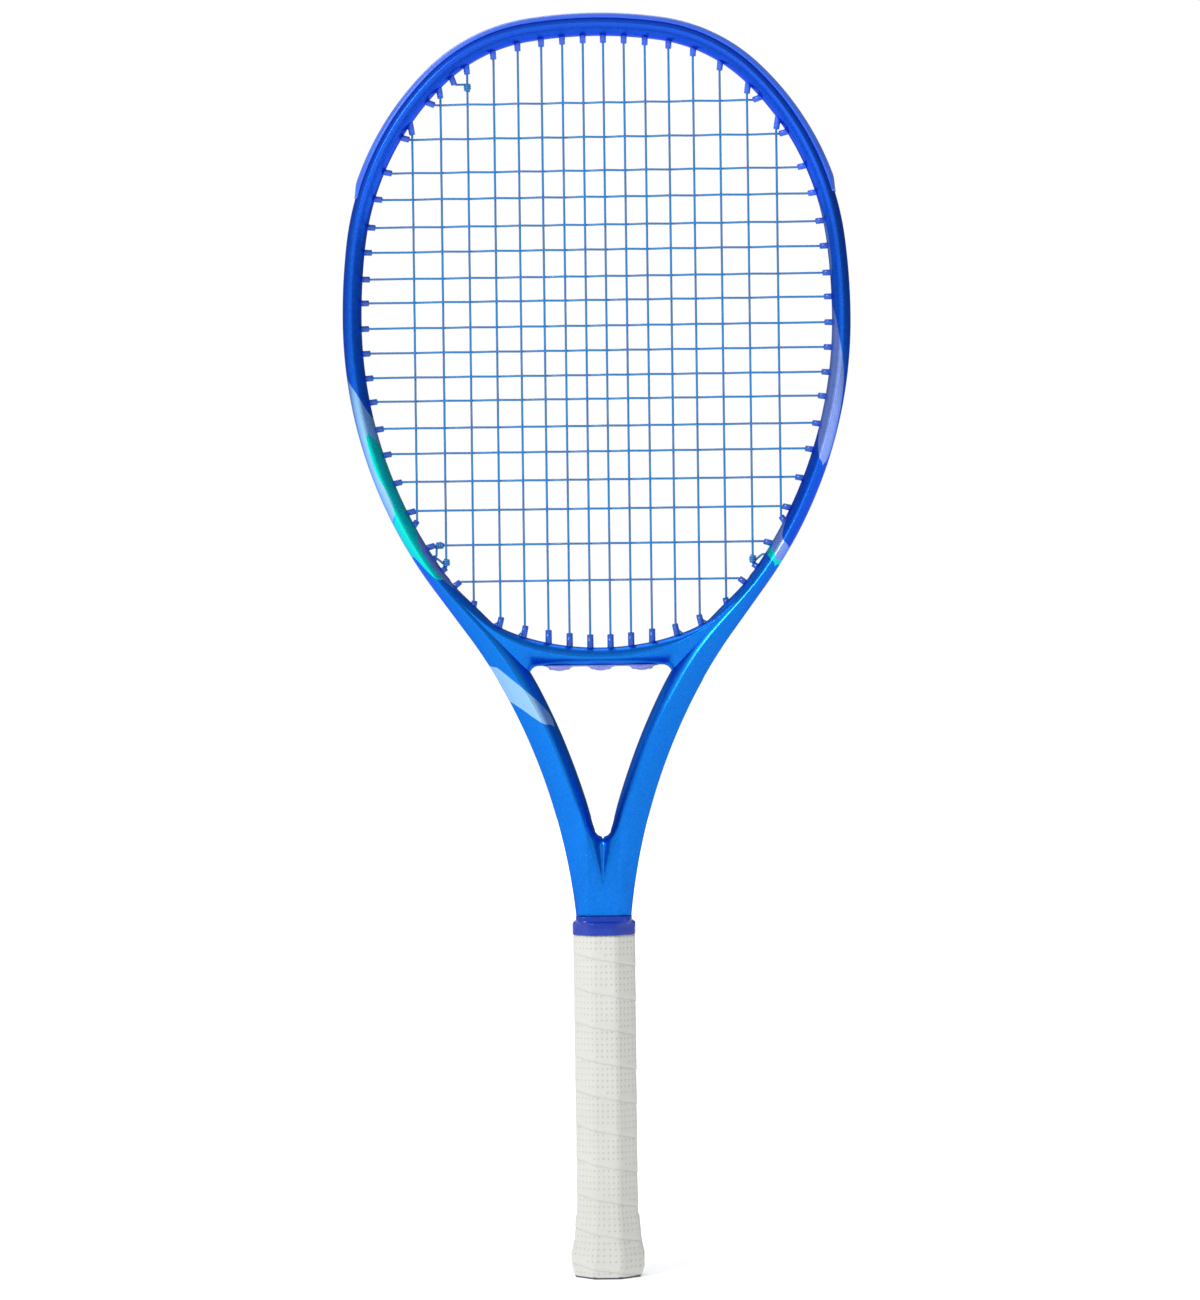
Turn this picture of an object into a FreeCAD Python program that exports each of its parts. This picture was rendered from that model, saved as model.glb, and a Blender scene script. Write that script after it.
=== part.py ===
import FreeCAD, Part
import math
import os

# Tennis racket, upright: +Z runs from the butt end to the tip of the head, the strings lie
# in the XZ plane and the front looks along -Y. The origin is the middle of the butt end.
# All sizes are in millimetres and degrees.

vec = FreeCAD.Vector
doc = FreeCAD.newDocument("tennis_racket")
sheet = doc.addObject("Spreadsheet::Sheet", "sizes")

drivingSizes = [
    ("racketLength", 685.0, "butt end to the top of the bumper guard"),
    # outer edge of the frame, from the top centre down one side, as tangent arcs
    ("crownRadius", 246.0, "arc across the top of the head"),
    ("crownTurn", 8.5, "its turn on each side"),
    ("shoulderRadius", 96.0, "tight arc at the upper corner"),
    ("shoulderTurn", 35.5, "its turn"),
    ("cheekRadius", 156.0, "arc down to the widest place"),
    ("cheekTurn", 39.0, "its turn"),
    ("sideRadius", 345.0, "flat arc at the widest place"),
    ("sideTurn", 7.0, "its turn"),
    ("flankRadius", 247.5, "arc from the side to the throat"),
    ("flankTurn", 36.2, "its turn"),
    ("armRun", 31.0, "straight run beside the bridge"),
    ("throatRadius", 272.0, "hollow arc beside the throat"),
    ("throatTurn", 9.0, "its turn"),
    ("shaftRadius", 326.0, "hollow arc that runs into the shaft"),
    ("shaftTurn", 21.2, "its turn"),
    ("shaftRun", 12.0, "straight run that ends inside the collar"),
    # frame tube
    ("tubeWidth", 10.2, "width of the hoop's tube in the string plane"),
    ("tubeDepth", 24.0, "depth of the tube across the string plane"),
    ("tubeWall", 1.3, "wall of the carbon tube"),
    ("handleTubeWidth", 13.4, "each leg of the hairpin inside the handle"),
    ("handleTubeDepth", 19.0, "its depth"),
    ("legOffset", 7.0, "middle of each leg from the handle's axis"),
    ("handleTubeEnd", 32.0, "where the hairpin's legs end above the butt"),
    ("grooveWidth", 5.6, "string groove round the outside"),
    ("grooveDepth", 2.6, "its depth"),
    ("grooveEnd", 326.0, "height where the groove ends on each arm"),
    ("webDepth", 13.0, "thickness of the web below the throat opening"),
    ("webTop", 237.4, "bottom of the throat opening"),
    # throat bridge
    ("bridgeTop", 340.7, "top of the bridge at its middle"),
    ("bridgeBottom", 331.0, "underside of the bridge"),
    ("bridgeRadius", 138.0, "radius of its string side"),
    ("bridgeDepth", 21.0, "depth across the string plane"),
    ("bridgeWall", 1.8, "wall of the hollow bridge"),
    ("bridgeHalf", 66.0, "half length of the block the bridge is cut from"),
    ("bridgeEdge", 3.4, "rounding of its long edges"),
    # guard and grommets
    ("guardThickness", 2.0, "bumper guard outside the frame"),
    ("guardDepth", 18.0, "its width across the string plane"),
    ("guardEnd", 586.0, "height where the guard stops"),
    ("stripWidth", 5.2, "grommet strip in the groove"),
    ("stripThickness", 0.8, "its thickness"),
    ("stripEnd", 328.0, "height where the side strips stop"),
    ("barrelDiameter", 3.3, "outside of a grommet barrel"),
    ("barrelBore", 1.7, "its bore"),
    ("barrelTip", 4.0, "how far a barrel stands out of the frame"),
    ("footBarrelTip", 2.4, "the same for the outer mains' lower ends"),
    ("bridgeBarrelTip", 7.0, "the same on the bridge"),
    ("guardFlare", 1.5, "rounded outer mouth of a bore in the guard"),
    ("guardSetback", 0.9, "barrel's outer end, short of the string's bend, in the guard"),
    ("stripFlare", 1.35, "rounded outer mouth of a bore in a strip"),
    ("stripSetback", 0.5, "barrel's outer end, short of the string's bend, in a strip"),
    ("holeDiameter", 3.5, "hole in the frame for a barrel"),
    ("bridgeStripDepth", 7.0, "grommet strip under the bridge, across the string plane"),
    ("bridgeStripEnd", 4.0, "its length beyond the last string"),
    ("bridgeStripRim", 2.6, "height of its rim"),
    ("bridgeStripFoot", 1.68, "foot radius of its barrels"),
    ("bridgeStripTip", 1.4, "tip radius of its barrels"),
    # strings
    ("stringDiameter", 1.25, "string gauge"),
    ("weaveHeight", 1.46, "cross string's centre from the main string's at a crossing"),
    ("grooveShift", 0.8, "mains lie this far in front of the groove's middle, crosses behind"),
    ("knotRadius", 1.75, "ring of a tie-off knot round its anchor string"),
    ("mouthBend", 4.0, "bend of a string at a barrel's mouth"),
    ("grooveBend", 1.0, "its bend in the groove"),
    ("weaveBend", 6.0, "its bend at a crossing"),
    # handle
    ("gripThickness", 1.7, "cushioned grip tape"),
    ("gripBottom", 1.3, "lower edge of the grip"),
    ("gripTop", 188.6, "upper edge of the grip, under the collar"),
    ("capWall", 1.9, "wall of the butt cap"),
    ("capFloor", 3.0, "floor of the butt cap"),
    ("capTop", 31.0, "upper rim of the butt cap"),
    ("coreTop", 187.0, "top of the moulded handle"),
    ("pocketLength", 26.0, "hollow of the handle above the trap door, along X"),
    ("pocketWidth", 17.0, "the same along Y"),
    ("pocketHeight", 9.0, "the same along Z"),
    ("doorLength", 17.0, "trap door along X"),
    ("doorHeight", 12.0, "trap door along Y"),
    ("doorThickness", 1.9, "thickness of the trap door"),
    ("doorGap", 0.35, "gap round the trap door"),
    ("hingeDiameter", 1.3, "pins of the trap door"),
    ("plugLength", 26.0, "balance plug in each leg of the hairpin"),
    ("plugBottom", 40.0, "lower end of the balance plugs"),
    ("collarBottom", 185.2, "lower edge of the rubber collar"),
    ("collarTop", 195.4, "upper edge of the rubber collar"),
    ("collarWidth", 34.2, "width of the collar's flange"),
    ("collarDepth", 31.6, "depth of the collar's flange"),
    ("collarFlangeTop", 191.6, "top of the flange"),
    ("collarBandFoot", 192.9, "foot of the thin band above it"),
    ("tapeThickness", 0.25, "finishing tape"),
    ("tapeBottom", 185.8, "its lower edge"),
    ("tapeTop", 190.5, "its upper edge"),
    ("stapleCrown", 9.0, "staple along Z"),
    ("stapleLeg", 5.0, "staple into the handle"),
    ("stapleWire", 0.7, "staple wire, square"),
    ("stapleBottom", 18.0, "lower end of a staple"),
    ("stapleSide", 3.2, "staple from the middle, along Y"),
    ("stapleFace", 17.8, "half width of the handle at the staples"),
]
for line, (alias, value, note) in enumerate(drivingSizes, start=1):
    sheet.set("A%d" % line, note)
    sheet.set("B%d" % line, str(value))
    sheet.setAlias("B%d" % line, alias)
doc.recompute()


def size(alias):
    return float(sheet.get(alias))


# string plan: distance of each main from the middle, height of each cross
mains = [5.5, 16.7, 28.1, 40.9, 54.1, 68.5, 83.2, 98.8]
crosses = [636.4, 617.8, 599.6, 585.3, 570.2, 556.7, 542.2, 529.3, 515.4,
           502.0, 488.6, 475.7, 461.0, 447.2, 431.9, 416.1, 397.2, 377.3]

# width of the arm's tube beside and below the bridge, by height of its outer edge
armWidths = [(352.0, 13.6), (337.0, 16.4), (320.0, 17.4), (296.0, 17.6), (270.0, 17.7),
             (246.0, 18.0), (226.0, 17.6), (208.0, 16.6)]

# outside of the finished handle: height, half width, half depth
handleProfile = [(0.0, 17.6, 16.0), (1.3, 18.4, 16.8), (5.0, 19.7, 18.1), (12.0, 20.0, 18.4),
                 (17.0, 19.0, 17.4), (20.0, 18.2, 16.6), (31.2, 17.5, 15.9), (34.0, 16.7, 15.2),
                 (60.0, 16.6, 15.1), (184.2, 17.0, 15.4), (185.6, 16.2, 14.7), (192.0, 15.8, 14.4)]
facetShare = 0.4  # half of an octagon's flat, as a share of its half width
facetDepthShare = 0.39


# ---------------------------------------------------------------- outer edge of the frame

def outlineRuns():
    """Arcs of the right half as (start, x, z, heading, curvature, length)."""
    rows = [(-1, "crown"), (-1, "shoulder"), (-1, "cheek"), (-1, "side"), (-1, "flank"),
            (0, "arm"), (1, "throat"), (1, "shaft"), (0, "shaft")]
    start, x, z, heading = 0.0, 0.0, size("racketLength") - size("guardThickness"), 0.0
    runs = []
    for bend, name in rows:
        if bend == 0:
            curvature, length = 0.0, size(name + "Run")
        else:
            radius = size(name + "Radius")
            curvature, length = bend / radius, radius * math.radians(size(name + "Turn"))
        runs.append((start, x, z, heading, curvature, length))
        x, z, heading = along(runs[-1], length)
        start += length
    return runs


def along(run, distance):
    start, x, z, heading, curvature, length = run
    if curvature == 0.0:
        return x + distance * math.cos(heading), z + distance * math.sin(heading), heading
    turned = heading + curvature * distance
    return (x + (math.sin(turned) - math.sin(heading)) / curvature,
            z - (math.cos(turned) - math.cos(heading)) / curvature, turned)


outline = outlineRuns()
hoopEnd = outline[5][0]
widestRun = outline[3][0]
outlineEnd = outline[-1][0] + outline[-1][5]


def edgePoint(run, inset=0.0, y=0.0):
    """Point at a distance along the outer edge, moved inwards, and the outward normal."""
    piece = [r for r in outline if r[0] <= run + 1e-9][-1]
    x, z, heading = along(piece, run - piece[0])
    normal = vec(-math.sin(heading), 0, math.cos(heading))
    return vec(x, y, z) - normal * inset, normal


def findRun(axis, value, inset, low, high):
    """Where the inset edge reaches a given x or z, by halving."""
    rising = getattr(edgePoint(high, inset)[0], axis) > getattr(edgePoint(low, inset)[0], axis)
    for _ in range(50):
        middle = (low + high) / 2
        if (getattr(edgePoint(middle, inset)[0], axis) < value) == rising:
            low = middle
        else:
            high = middle
    return (low + high) / 2


def edgeWire(low, high, inset):
    """The inset edge between two runs as lines and tangent arcs."""
    edges = []
    for start, x, z, heading, curvature, length in outline:
        first, last = max(low, start), min(high, start + length)
        if last - first < 1e-6:
            continue
        a, m, b = (edgePoint(min(r, last - 1e-9), inset)[0] for r in (first, (first + last) / 2, last))
        curve = Part.LineSegment(a, b) if curvature == 0.0 else Part.Arc(a, m, b)
        edges.append(curve.toShape())
    return Part.Wire(edges)


def mirrored(shape):
    return shape.mirror(vec(0, 0, 0), vec(1, 0, 0))


def bothSides(shape):
    return shape.fuse(mirrored(shape))


# ---------------------------------------------------------------- general helpers

def oval(centre, across, width, depth):
    """Closed ellipse: its width lies along 'across', its depth along Y."""
    curve = Part.Ellipse(centre + vec(0, depth / 2, 0), centre + across * (width / 2), centre)
    return Part.Wire(curve.toShape())


def sectionAt(run, width, depth, skin):
    """Tube section at right angles to the outer edge; skin is taken off all round."""
    edge, normal = edgePoint(run)
    return oval(edge - normal * (width / 2), normal, width - 2 * skin, depth - 2 * skin)


def ribbon(run, low, high, halfWidth):
    """Rectangle across the outer edge, from 'low' to 'high' outwards of it."""
    edge, normal = edgePoint(run)
    across = vec(0, halfWidth, 0)
    corners = [edge + normal * low - across, edge + normal * low + across,
               edge + normal * high + across, edge + normal * high - across]
    return Part.makePolygon(corners + corners[:1])


def sweep(path, profile):
    solid = path.makePipeShell([profile], True, False)
    if solid.Volume < 0:
        solid.reverse()
    return solid


def octagon(z, halfWidth, halfDepth):
    a, b = halfWidth * facetShare, halfDepth * facetDepthShare
    corners = [(a, -halfDepth), (halfWidth, -b), (halfWidth, b), (a, halfDepth),
               (-a, halfDepth), (-halfWidth, b), (-halfWidth, -b), (-a, -halfDepth)]
    points = [vec(x, y, z) for x, y in corners]
    return Part.makePolygon(points + points[:1])


def handleForm(inset, low, high):
    """Octagonal handle, made smaller all round, between two heights."""
    def at(z):
        for (z0, w0, d0), (z1, w1, d1) in zip(handleProfile, handleProfile[1:]):
            if z0 <= z <= z1:
                share = (z - z0) / (z1 - z0)
                return w0 + (w1 - w0) * share, d0 + (d1 - d0) * share
    heights = [low] + [row[0] for row in handleProfile if low + 0.01 < row[0] < high - 0.01] + [high]
    rings = []
    for z in heights:
        w, d = at(z)
        rings.append(octagon(z, w - inset, d - inset))
    return Part.makeLoft(rings, True, True)


def roundedPath(points, radii):
    """Straight runs joined by tangent arcs; each arc is as large as its two runs allow."""
    edges, here = [], points[0]
    for i in range(1, len(points) - 1):
        a, b, c = points[i - 1], points[i], points[i + 1]
        back, on = (a - b), (c - b)
        room = 0.45 * min(back.Length, on.Length)
        back.normalize()
        on.normalize()
        turn = math.pi - back.getAngle(on)
        if turn < 1e-4:
            continue
        tangent = min(room, radii[i] * math.tan(turn / 2))
        first, last = b + back * tangent, b + on * tangent
        radius = tangent / math.tan(turn / 2)
        inwards = back + on
        inwards.normalize()
        middle = b + inwards * (radius / math.cos(turn / 2) - radius)
        edges.append(Part.LineSegment(here, first).toShape())
        edges.append(Part.Arc(first, middle, last).toShape())
        here = last
    edges.append(Part.LineSegment(here, points[-1]).toShape())
    return Part.Wire(edges)


def cordTube(points, radii):
    """String along a route; its volume is compared with its section times its length."""
    path = roundedPath(points, radii)
    first = path.Edges[0]
    ring = Part.Circle(points[0], first.tangentAt(first.FirstParameter), size("stringDiameter") / 2)
    tube = sweep(path, Part.Wire(ring.toShape()))
    expected = math.pi * size("stringDiameter") ** 2 / 4 * path.Length
    if abs(tube.Volume / expected - 1) > 0.01:
        raise RuntimeError("string volume is off: %.3f of %.3f" % (tube.Volume, expected))
    return tube, path.Length


def rod(start, end, diameter, before=0.0, beyond=0.0):
    axis = end - start
    length = axis.Length + before + beyond
    axis.normalize()
    return Part.makeCylinder(diameter / 2, length, start - axis * before, axis)


def addPart(label, shape):
    feature = doc.addObject("Part::Feature", label)
    feature.Label = label
    feature.Shape = shape
    feature.Placement = FreeCAD.Placement()
    return feature


# ---------------------------------------------------------------- string holes

stringInset = size("grooveDepth") - size("stripThickness") - 0.1 - size("stringDiameter") / 2 - 0.05


class Hole:
    """A string hole: its inner mouth 'tip' and the place 'out' where the string meets the groove."""

    def __init__(self, tip, out):
        self.tip, self.out = tip, out

    def mirror(self):
        return Hole(vec(-self.tip.x, self.tip.y, self.tip.z), vec(-self.out.x, self.out.y, self.out.z))


def tubeHole(axis, value, pull, low, high, shift, standOut="barrelTip"):
    """Hole through the hoop for a string pulled along 'pull', turned towards the normal."""
    reach = size("tubeWidth") + size(standOut)
    run = findRun(axis, value, reach, low, high)
    tip, normal = edgePoint(run, reach)
    aim = pull + normal
    if run > hoopEnd - 12.0:
        aim = normal
    aim.normalize()
    out = tip + aim * ((reach - stringInset) / aim.dot(normal))
    return Hole(tip, vec(out.x, shift, out.z))


def tieHole(height, shift):
    """Plain hole for a tail; the tails of both strings share it on the left."""
    reach = size("tubeWidth") + 1.0
    tip, normal = edgePoint(findRun("z", height, reach, widestRun, outlineEnd), reach)
    aim = right + normal
    aim.normalize()
    out = tip + aim * ((reach - stringInset) / aim.dot(normal))
    return Hole(vec(tip.x, shift, tip.z), vec(out.x, shift, out.z))


def armHole(tip, height, shift):
    run = findRun("z", height, stringInset, hoopEnd, outlineEnd)
    out = edgePoint(run, stringInset)[0]
    return Hole(tip, vec(out.x, shift, out.z))


def bridgeSurface(x):
    radius = size("bridgeRadius")
    return size("bridgeTop") + radius - math.sqrt(radius ** 2 - x ** 2)


front, back = -size("grooveShift"), size("grooveShift")
up, down, right = vec(0, 0, 1), vec(0, 0, -1), vec(1, 0, 0)
loopDrop = size("bridgeBottom") - 0.1 - size("stripThickness") - size("stringDiameter") / 2 - 0.05

mainTop = [tubeHole("x", x, up, 0.0, widestRun, front) for x in mains]
mainFoot = []
for number, x in enumerate(mains):
    if number < 3:
        mainFoot.append(Hole(vec(x, 0, bridgeSurface(x) + size("bridgeBarrelTip")), vec(x, 0, loopDrop)))
    elif number == 3:
        mainFoot.append(armHole(vec(x, 0, bridgeSurface(x) + size("barrelTip")), 333.5, front))
    elif number == 4:
        mainFoot.append(armHole(vec(x, 0, bridgeSurface(x) + size("barrelTip")), 347.0, front))
    else:
        mainFoot.append(tubeHole("x", x, down, widestRun, outlineEnd, front, "footBarrelTip"))
crossEnd = [tubeHole("z", z, right, 0.0, outlineEnd, back) for z in crosses]
mainTie = tieHole(390.5, front)       # tail of the mains
crossFinish = tieHole(390.5, back)    # last tail of the crosses
crossStart = tubeHole("x", 75.6, up, 0.0, widestRun, back)  # first tail of the crosses

topHeight = size("guardEnd")
rightHoles = mainTop + mainFoot[3:] + crossEnd + [mainTie]
leftHoles = [h.mirror() for h in rightHoles + [crossStart, crossFinish]]
hoopHoles = rightHoles + leftHoles
bridgeHoles = mainFoot[:3] + [h.mirror() for h in mainFoot[:3]]


# ---------------------------------------------------------------- frame

def frameSolid(skin):
    """Hairpin: hoop, arms, shaft and the two legs in the handle, with skin taken off all round."""
    width, depth = size("tubeWidth"), size("tubeDepth")
    hoop = sweep(edgeWire(0.0, hoopEnd, width / 2), sectionAt(0.0, width, depth, skin))
    rings = [sectionAt(hoopEnd, width, depth, skin)]
    for height, armWidth in armWidths:
        rings.append(sectionAt(findRun("z", height, 0.0, hoopEnd, outlineEnd), armWidth, depth, skin))
    legWidth, legDepth = size("handleTubeWidth"), size("handleTubeDepth")
    legTop = size("collarBottom") - 5.0
    legCentre = vec(size("legOffset"), 0, legTop)
    rings.append(oval(legCentre + vec(0.1, 0, 15.0), right, 15.2 - 2 * skin, depth - 3.0 - 2 * skin))
    rings.append(oval(legCentre, right, legWidth - 2 * skin, legDepth - 2 * skin))
    arm = Part.makeLoft(rings, True, True)
    leg = Part.Face(rings[-1]).extrude(vec(0, 0, size("handleTubeEnd") - legTop - (1.0 if skin else 0.0)))
    return hoop.fuse([arm, leg])


def throatWeb():
    """Web in the fork of the shaft, with the round bottom of the throat opening."""
    depth, top = size("webDepth"), size("webTop")
    web = Part.makeBox(14, depth, 40, vec(-7, -depth / 2, top - 37))
    return web.cut(Part.makeCylinder(3.6, depth + 2, vec(0, -depth / 2 - 1, top + 3.6), vec(0, 1, 0)))


def makeFrame(outer):
    grooveLow = findRun("z", size("grooveEnd"), 0.0, hoopEnd, outlineEnd)
    wall, depth, half = size("tubeWall"), size("grooveDepth"), size("grooveWidth") / 2
    edge = edgeWire(0.0, grooveLow, 0.0)
    groove = bothSides(sweep(edge, ribbon(0.0, -depth, 2.0, half)))
    grooveWall = bothSides(sweep(edge, ribbon(0.0, -depth - wall, 2.0, half + wall)))
    hollow = bothSides(frameSolid(wall)).cut(grooveWall)
    shell = outer.cut(hollow).cut(groove)
    drills = [rod(h.tip, h.out, size("holeDiameter"), 3.0, 2.0) for h in hoopHoles]
    return shell.cut(drills)


def makeBridge(outer):
    """Moulded bridge that closes the head; its ends follow the arms."""
    depth, wall = size("bridgeDepth"), size("bridgeWall")
    half, bottom = size("bridgeHalf"), size("bridgeBottom")

    def block(skin):
        a, b = vec(-half, 0, bridgeSurface(half) - skin), vec(half, 0, bridgeSurface(half) - skin)
        arc = Part.Arc(a, vec(0, 0, size("bridgeTop") - skin), b).toShape()
        low = bottom + skin
        sides = Part.makePolygon([b, vec(half, 0, low), vec(-half, 0, low), a])
        outlineFace = Part.Face(Part.Wire([arc] + sides.Edges))
        solid = outlineFace.extrude(vec(0, depth - 2 * skin, 0))
        solid.translate(vec(0, skin - depth / 2, 0))
        return solid

    solid = block(0.0)
    longEdges = [e for e in solid.Edges if e.BoundBox.XLength > half]
    solid = solid.makeFillet(size("bridgeEdge"), longEdges)
    reach = size("tubeDepth")
    for side in (-1, 1):
        # nothing of the block stands outside the arms
        cutter = Part.makePolygon([vec(side * 38.5, -reach, 300), vec(side * 38.5, -reach, bottom - 2),
                                   vec(side * 59, -reach, bottom - 2), vec(side * 59, -reach, 300),
                                   vec(side * 38.5, -reach, 300)])
        solid = solid.cut(Part.Face(cutter).extrude(vec(0, 2 * reach, 0)))
    solid = solid.cut(outer)
    solid = max(solid.Solids, key=lambda s: s.Volume if abs(s.CenterOfMass.x) < 1 else 0)
    solid = solid.cut(block(wall))
    solid = max(solid.Solids, key=lambda s: s.Volume)
    drills = [rod(h.tip, h.out, size("holeDiameter"), 3.0, 3.0) for h in bridgeHoles]
    drills += [rod(h.tip, h.out, size("holeDiameter"), 3.0, 3.0) for h in hoopHoles if h.tip.z < 362.0]
    return solid.cut(drills)


# ---------------------------------------------------------------- guard and grommets

def barrels(holes, flare, setback):
    """Grommet barrels with bores whose outer mouths are rounded."""
    tubes, bores = [], []
    for hole in holes:
        axis = hole.out - hole.tip
        axis.normalize()
        tubes.append(rod(hole.tip, hole.out - axis * setback, size("barrelDiameter")))
        bores.append(rod(hole.tip, hole.out, size("barrelBore"), 2.0, 1.0))
        bores.append(Part.makeSphere(flare, hole.out))
    return tubes, bores


def stripBetween(low, high):
    bottom = -(size("grooveDepth") - 0.1)
    path = edgeWire(low, high, 0.0)
    profile = ribbon(low, bottom, bottom + size("stripThickness"), size("stripWidth") / 2)
    return sweep(path, profile)


def makeSideStrip(holes):
    low = findRun("z", size("guardEnd") - 1.0, 0.0, 0.0, outlineEnd)
    high = findRun("z", size("stripEnd"), 0.0, 0.0, outlineEnd)
    tubes, bores = barrels(holes, size("stripFlare"), size("stripSetback"))
    return stripBetween(low, high).fuse(tubes).cut(bores)


def makeGuard(holes):
    """Bumper guard over the top of the head, with its own barrels."""
    end = findRun("z", size("guardEnd"), 0.0, 0.0, outlineEnd)
    width, depth = size("tubeWidth"), size("tubeDepth")
    thickness, half = size("guardThickness"), size("guardDepth") / 2
    edge, normal = edgePoint(0.0)
    centre = edge - normal * (width / 2)
    bottom = -(size("grooveDepth") - 0.1)
    whole = Part.Face(oval(centre, normal, width + 2 * thickness, depth + 2 * thickness))
    whole = whole.common(Part.Face(ribbon(0.0, bottom, 2 * thickness, half)))
    insert = Part.Face(ribbon(0.0, bottom, thickness, size("stripWidth") / 2))
    tube = Part.Face(oval(centre, normal, width + 0.2, depth + 0.2)).cut(insert)
    channel = Part.Face(ribbon(0.0, bottom + size("stripThickness"), 2 * thickness, 1.9))
    profile = whole.cut(tube).cut(channel)
    outerWire = profile.Faces[0].OuterWire
    band = sweep(edgeWire(0.0, end, 0.0), outerWire)
    tubes, bores = barrels(holes, size("guardFlare"), size("guardSetback"))
    return bothSides(band).fuse(tubes).cut(bores)


def makeBridgeStrip():
    """Grommet strip under the bridge with six long barrels."""
    top, depth, thickness = size("bridgeBottom") - 0.1, size("bridgeStripDepth"), size("stripThickness")
    length, rimHeight = 2 * (mains[2] + size("bridgeStripEnd")), size("bridgeStripRim")
    low = top - thickness - rimHeight
    plate = Part.makeBox(length, depth, thickness, vec(-length / 2, -depth / 2, top - thickness))
    rim = Part.makeBox(length, depth, rimHeight, vec(-length / 2, -depth / 2, low))
    rim = rim.cut(Part.makeBox(length - 2 * thickness, depth - 2 * thickness, rimHeight + 1.4,
                               vec(thickness - length / 2, thickness - depth / 2, low - 0.6)))
    tubes, bores = [], []
    for hole in bridgeHoles:
        height = hole.tip.z - top
        foot = vec(hole.tip.x, 0, top - 0.2)
        tubes.append(Part.makeCone(size("bridgeStripFoot"), size("bridgeStripTip"), height, foot, up))
        bores.append(rod(hole.tip, hole.out, size("barrelBore"), 2.0, 1.0))
        bores.append(Part.makeSphere(size("guardFlare"), hole.out))
    return plate.fuse([rim] + tubes).cut(bores)


# ---------------------------------------------------------------- strings

mouthRadius, grooveRadius, weaveRadius = size("mouthBend"), size("grooveBend"), size("weaveBend")


def knot(centre, axis):
    return Part.makeTorus(size("knotRadius"), size("stringDiameter") / 2 + 0.1, centre, axis)


def makeMainString():
    """One string through all sixteen mains, tied off on the seventh main at each side."""
    def half(side):
        """Route of one half, from the middle loop under the bridge to the tail."""
        flip = (lambda h: h.mirror()) if side < 0 else (lambda h: h)
        top, foot, tie = [flip(h) for h in mainTop], [flip(h) for h in mainFoot], flip(mainTie)
        points, radii = [], []
        for number in range(8):
            first, last = (foot, top) if number % 2 == 0 else (top, foot)
            hole = first[number]
            points += [hole.out, hole.tip]
            radii += [grooveRadius, mouthRadius]
            hole = last[number]
            points += [hole.tip, hole.out]
            radii += [mouthRadius, grooveRadius]
        anchor = vec(side * mains[6], 0, foot[6].tip.z + 1.4)
        towards = anchor - tie.tip
        towards.normalize()
        points += [tie.out, tie.tip, anchor - towards * size("knotRadius")]
        radii += [grooveRadius, 1.0, 0.0]
        return points, radii, anchor

    rightPoints, rightRadii, rightAnchor = half(1)
    leftPoints, leftRadii, leftAnchor = half(-1)
    tube, length = cordTube(leftPoints[::-1] + rightPoints, leftRadii[::-1] + rightRadii)
    print("main string length %.0f mm" % length)
    return tube.fuse([knot(rightAnchor, up), knot(leftAnchor, up)])


def weaveRow(row, forwards):
    """Points of one cross string between its two mouths, over and under the mains."""
    z, mouth = crosses[row], crossEnd[row].tip.x
    points = []
    for number, x in enumerate(sorted([-m for m in mains] + mains)):
        foot, top = mainFoot[mains.index(abs(x))].tip.z, mainTop[mains.index(abs(x))].tip.z
        if abs(x) < mouth and foot < z < top:
            side = 1 if (number + row) % 2 else -1
            points.append(vec(x, side * size("weaveHeight"), z))
    return points if forwards else points[::-1]


def makeCrossString():
    """One string through all eighteen crosses, from the upper left to the lower left."""
    leftEnd = [h.mirror() for h in crossEnd]
    startHole, finishHole = crossStart.mirror(), crossFinish.mirror()
    anchor = vec(-mains[5], 0, startHole.tip.z + 0.4)
    towards = anchor - startHole.tip
    towards.normalize()
    points = [anchor - towards * size("knotRadius"), startHole.tip, startHole.out]
    radii = [0.0, 1.0, grooveRadius]
    low = findRun("x", -startHole.out.x, stringInset, 0.0, widestRun)
    high = findRun("z", leftEnd[0].out.z, stringInset, 0.0, widestRun)
    for share in (0.3, 0.65):
        spot = edgePoint(low + (high - low) * share, stringInset, back)[0]
        points.append(vec(-spot.x, spot.y, spot.z))
        radii.append(20.0)
    for row in range(len(crosses)):
        forwards = row % 2 == 0
        first, last = (leftEnd[row], crossEnd[row]) if forwards else (crossEnd[row], leftEnd[row])
        weave = weaveRow(row, forwards)
        points += [first.out, first.tip] + weave + [last.tip, last.out]
        radii += [grooveRadius, mouthRadius] + [weaveRadius] * len(weave) + [mouthRadius, grooveRadius]
    finish = vec(-crossEnd[16].tip.x + 1.4, 0, crosses[16])
    towards = finish - finishHole.tip
    towards.normalize()
    points += [finishHole.out, finishHole.tip, finish - towards * size("knotRadius")]
    radii += [grooveRadius, 1.0, 0.0]
    tube, length = cordTube(points, radii)
    print("cross string length %.0f mm" % length)
    return tube.fuse([knot(anchor, up), knot(finish, right)])


# ---------------------------------------------------------------- handle

def makeHandleCore(outer):
    thickness = size("gripThickness") + 0.05
    low, joint = size("capFloor") + 3.0, size("capTop") + 0.3
    slim = handleForm(thickness + size("capWall") + 0.05, low, joint)
    full = handleForm(thickness, joint, size("coreTop"))
    length, width = size("pocketLength"), size("pocketWidth")
    pocket = Part.makeBox(length, width, size("pocketHeight"), vec(-length / 2, -width / 2, low - 0.5))
    return slim.fuse(full).cut(pocket).cut(outer).cut(stapleTools())


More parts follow.
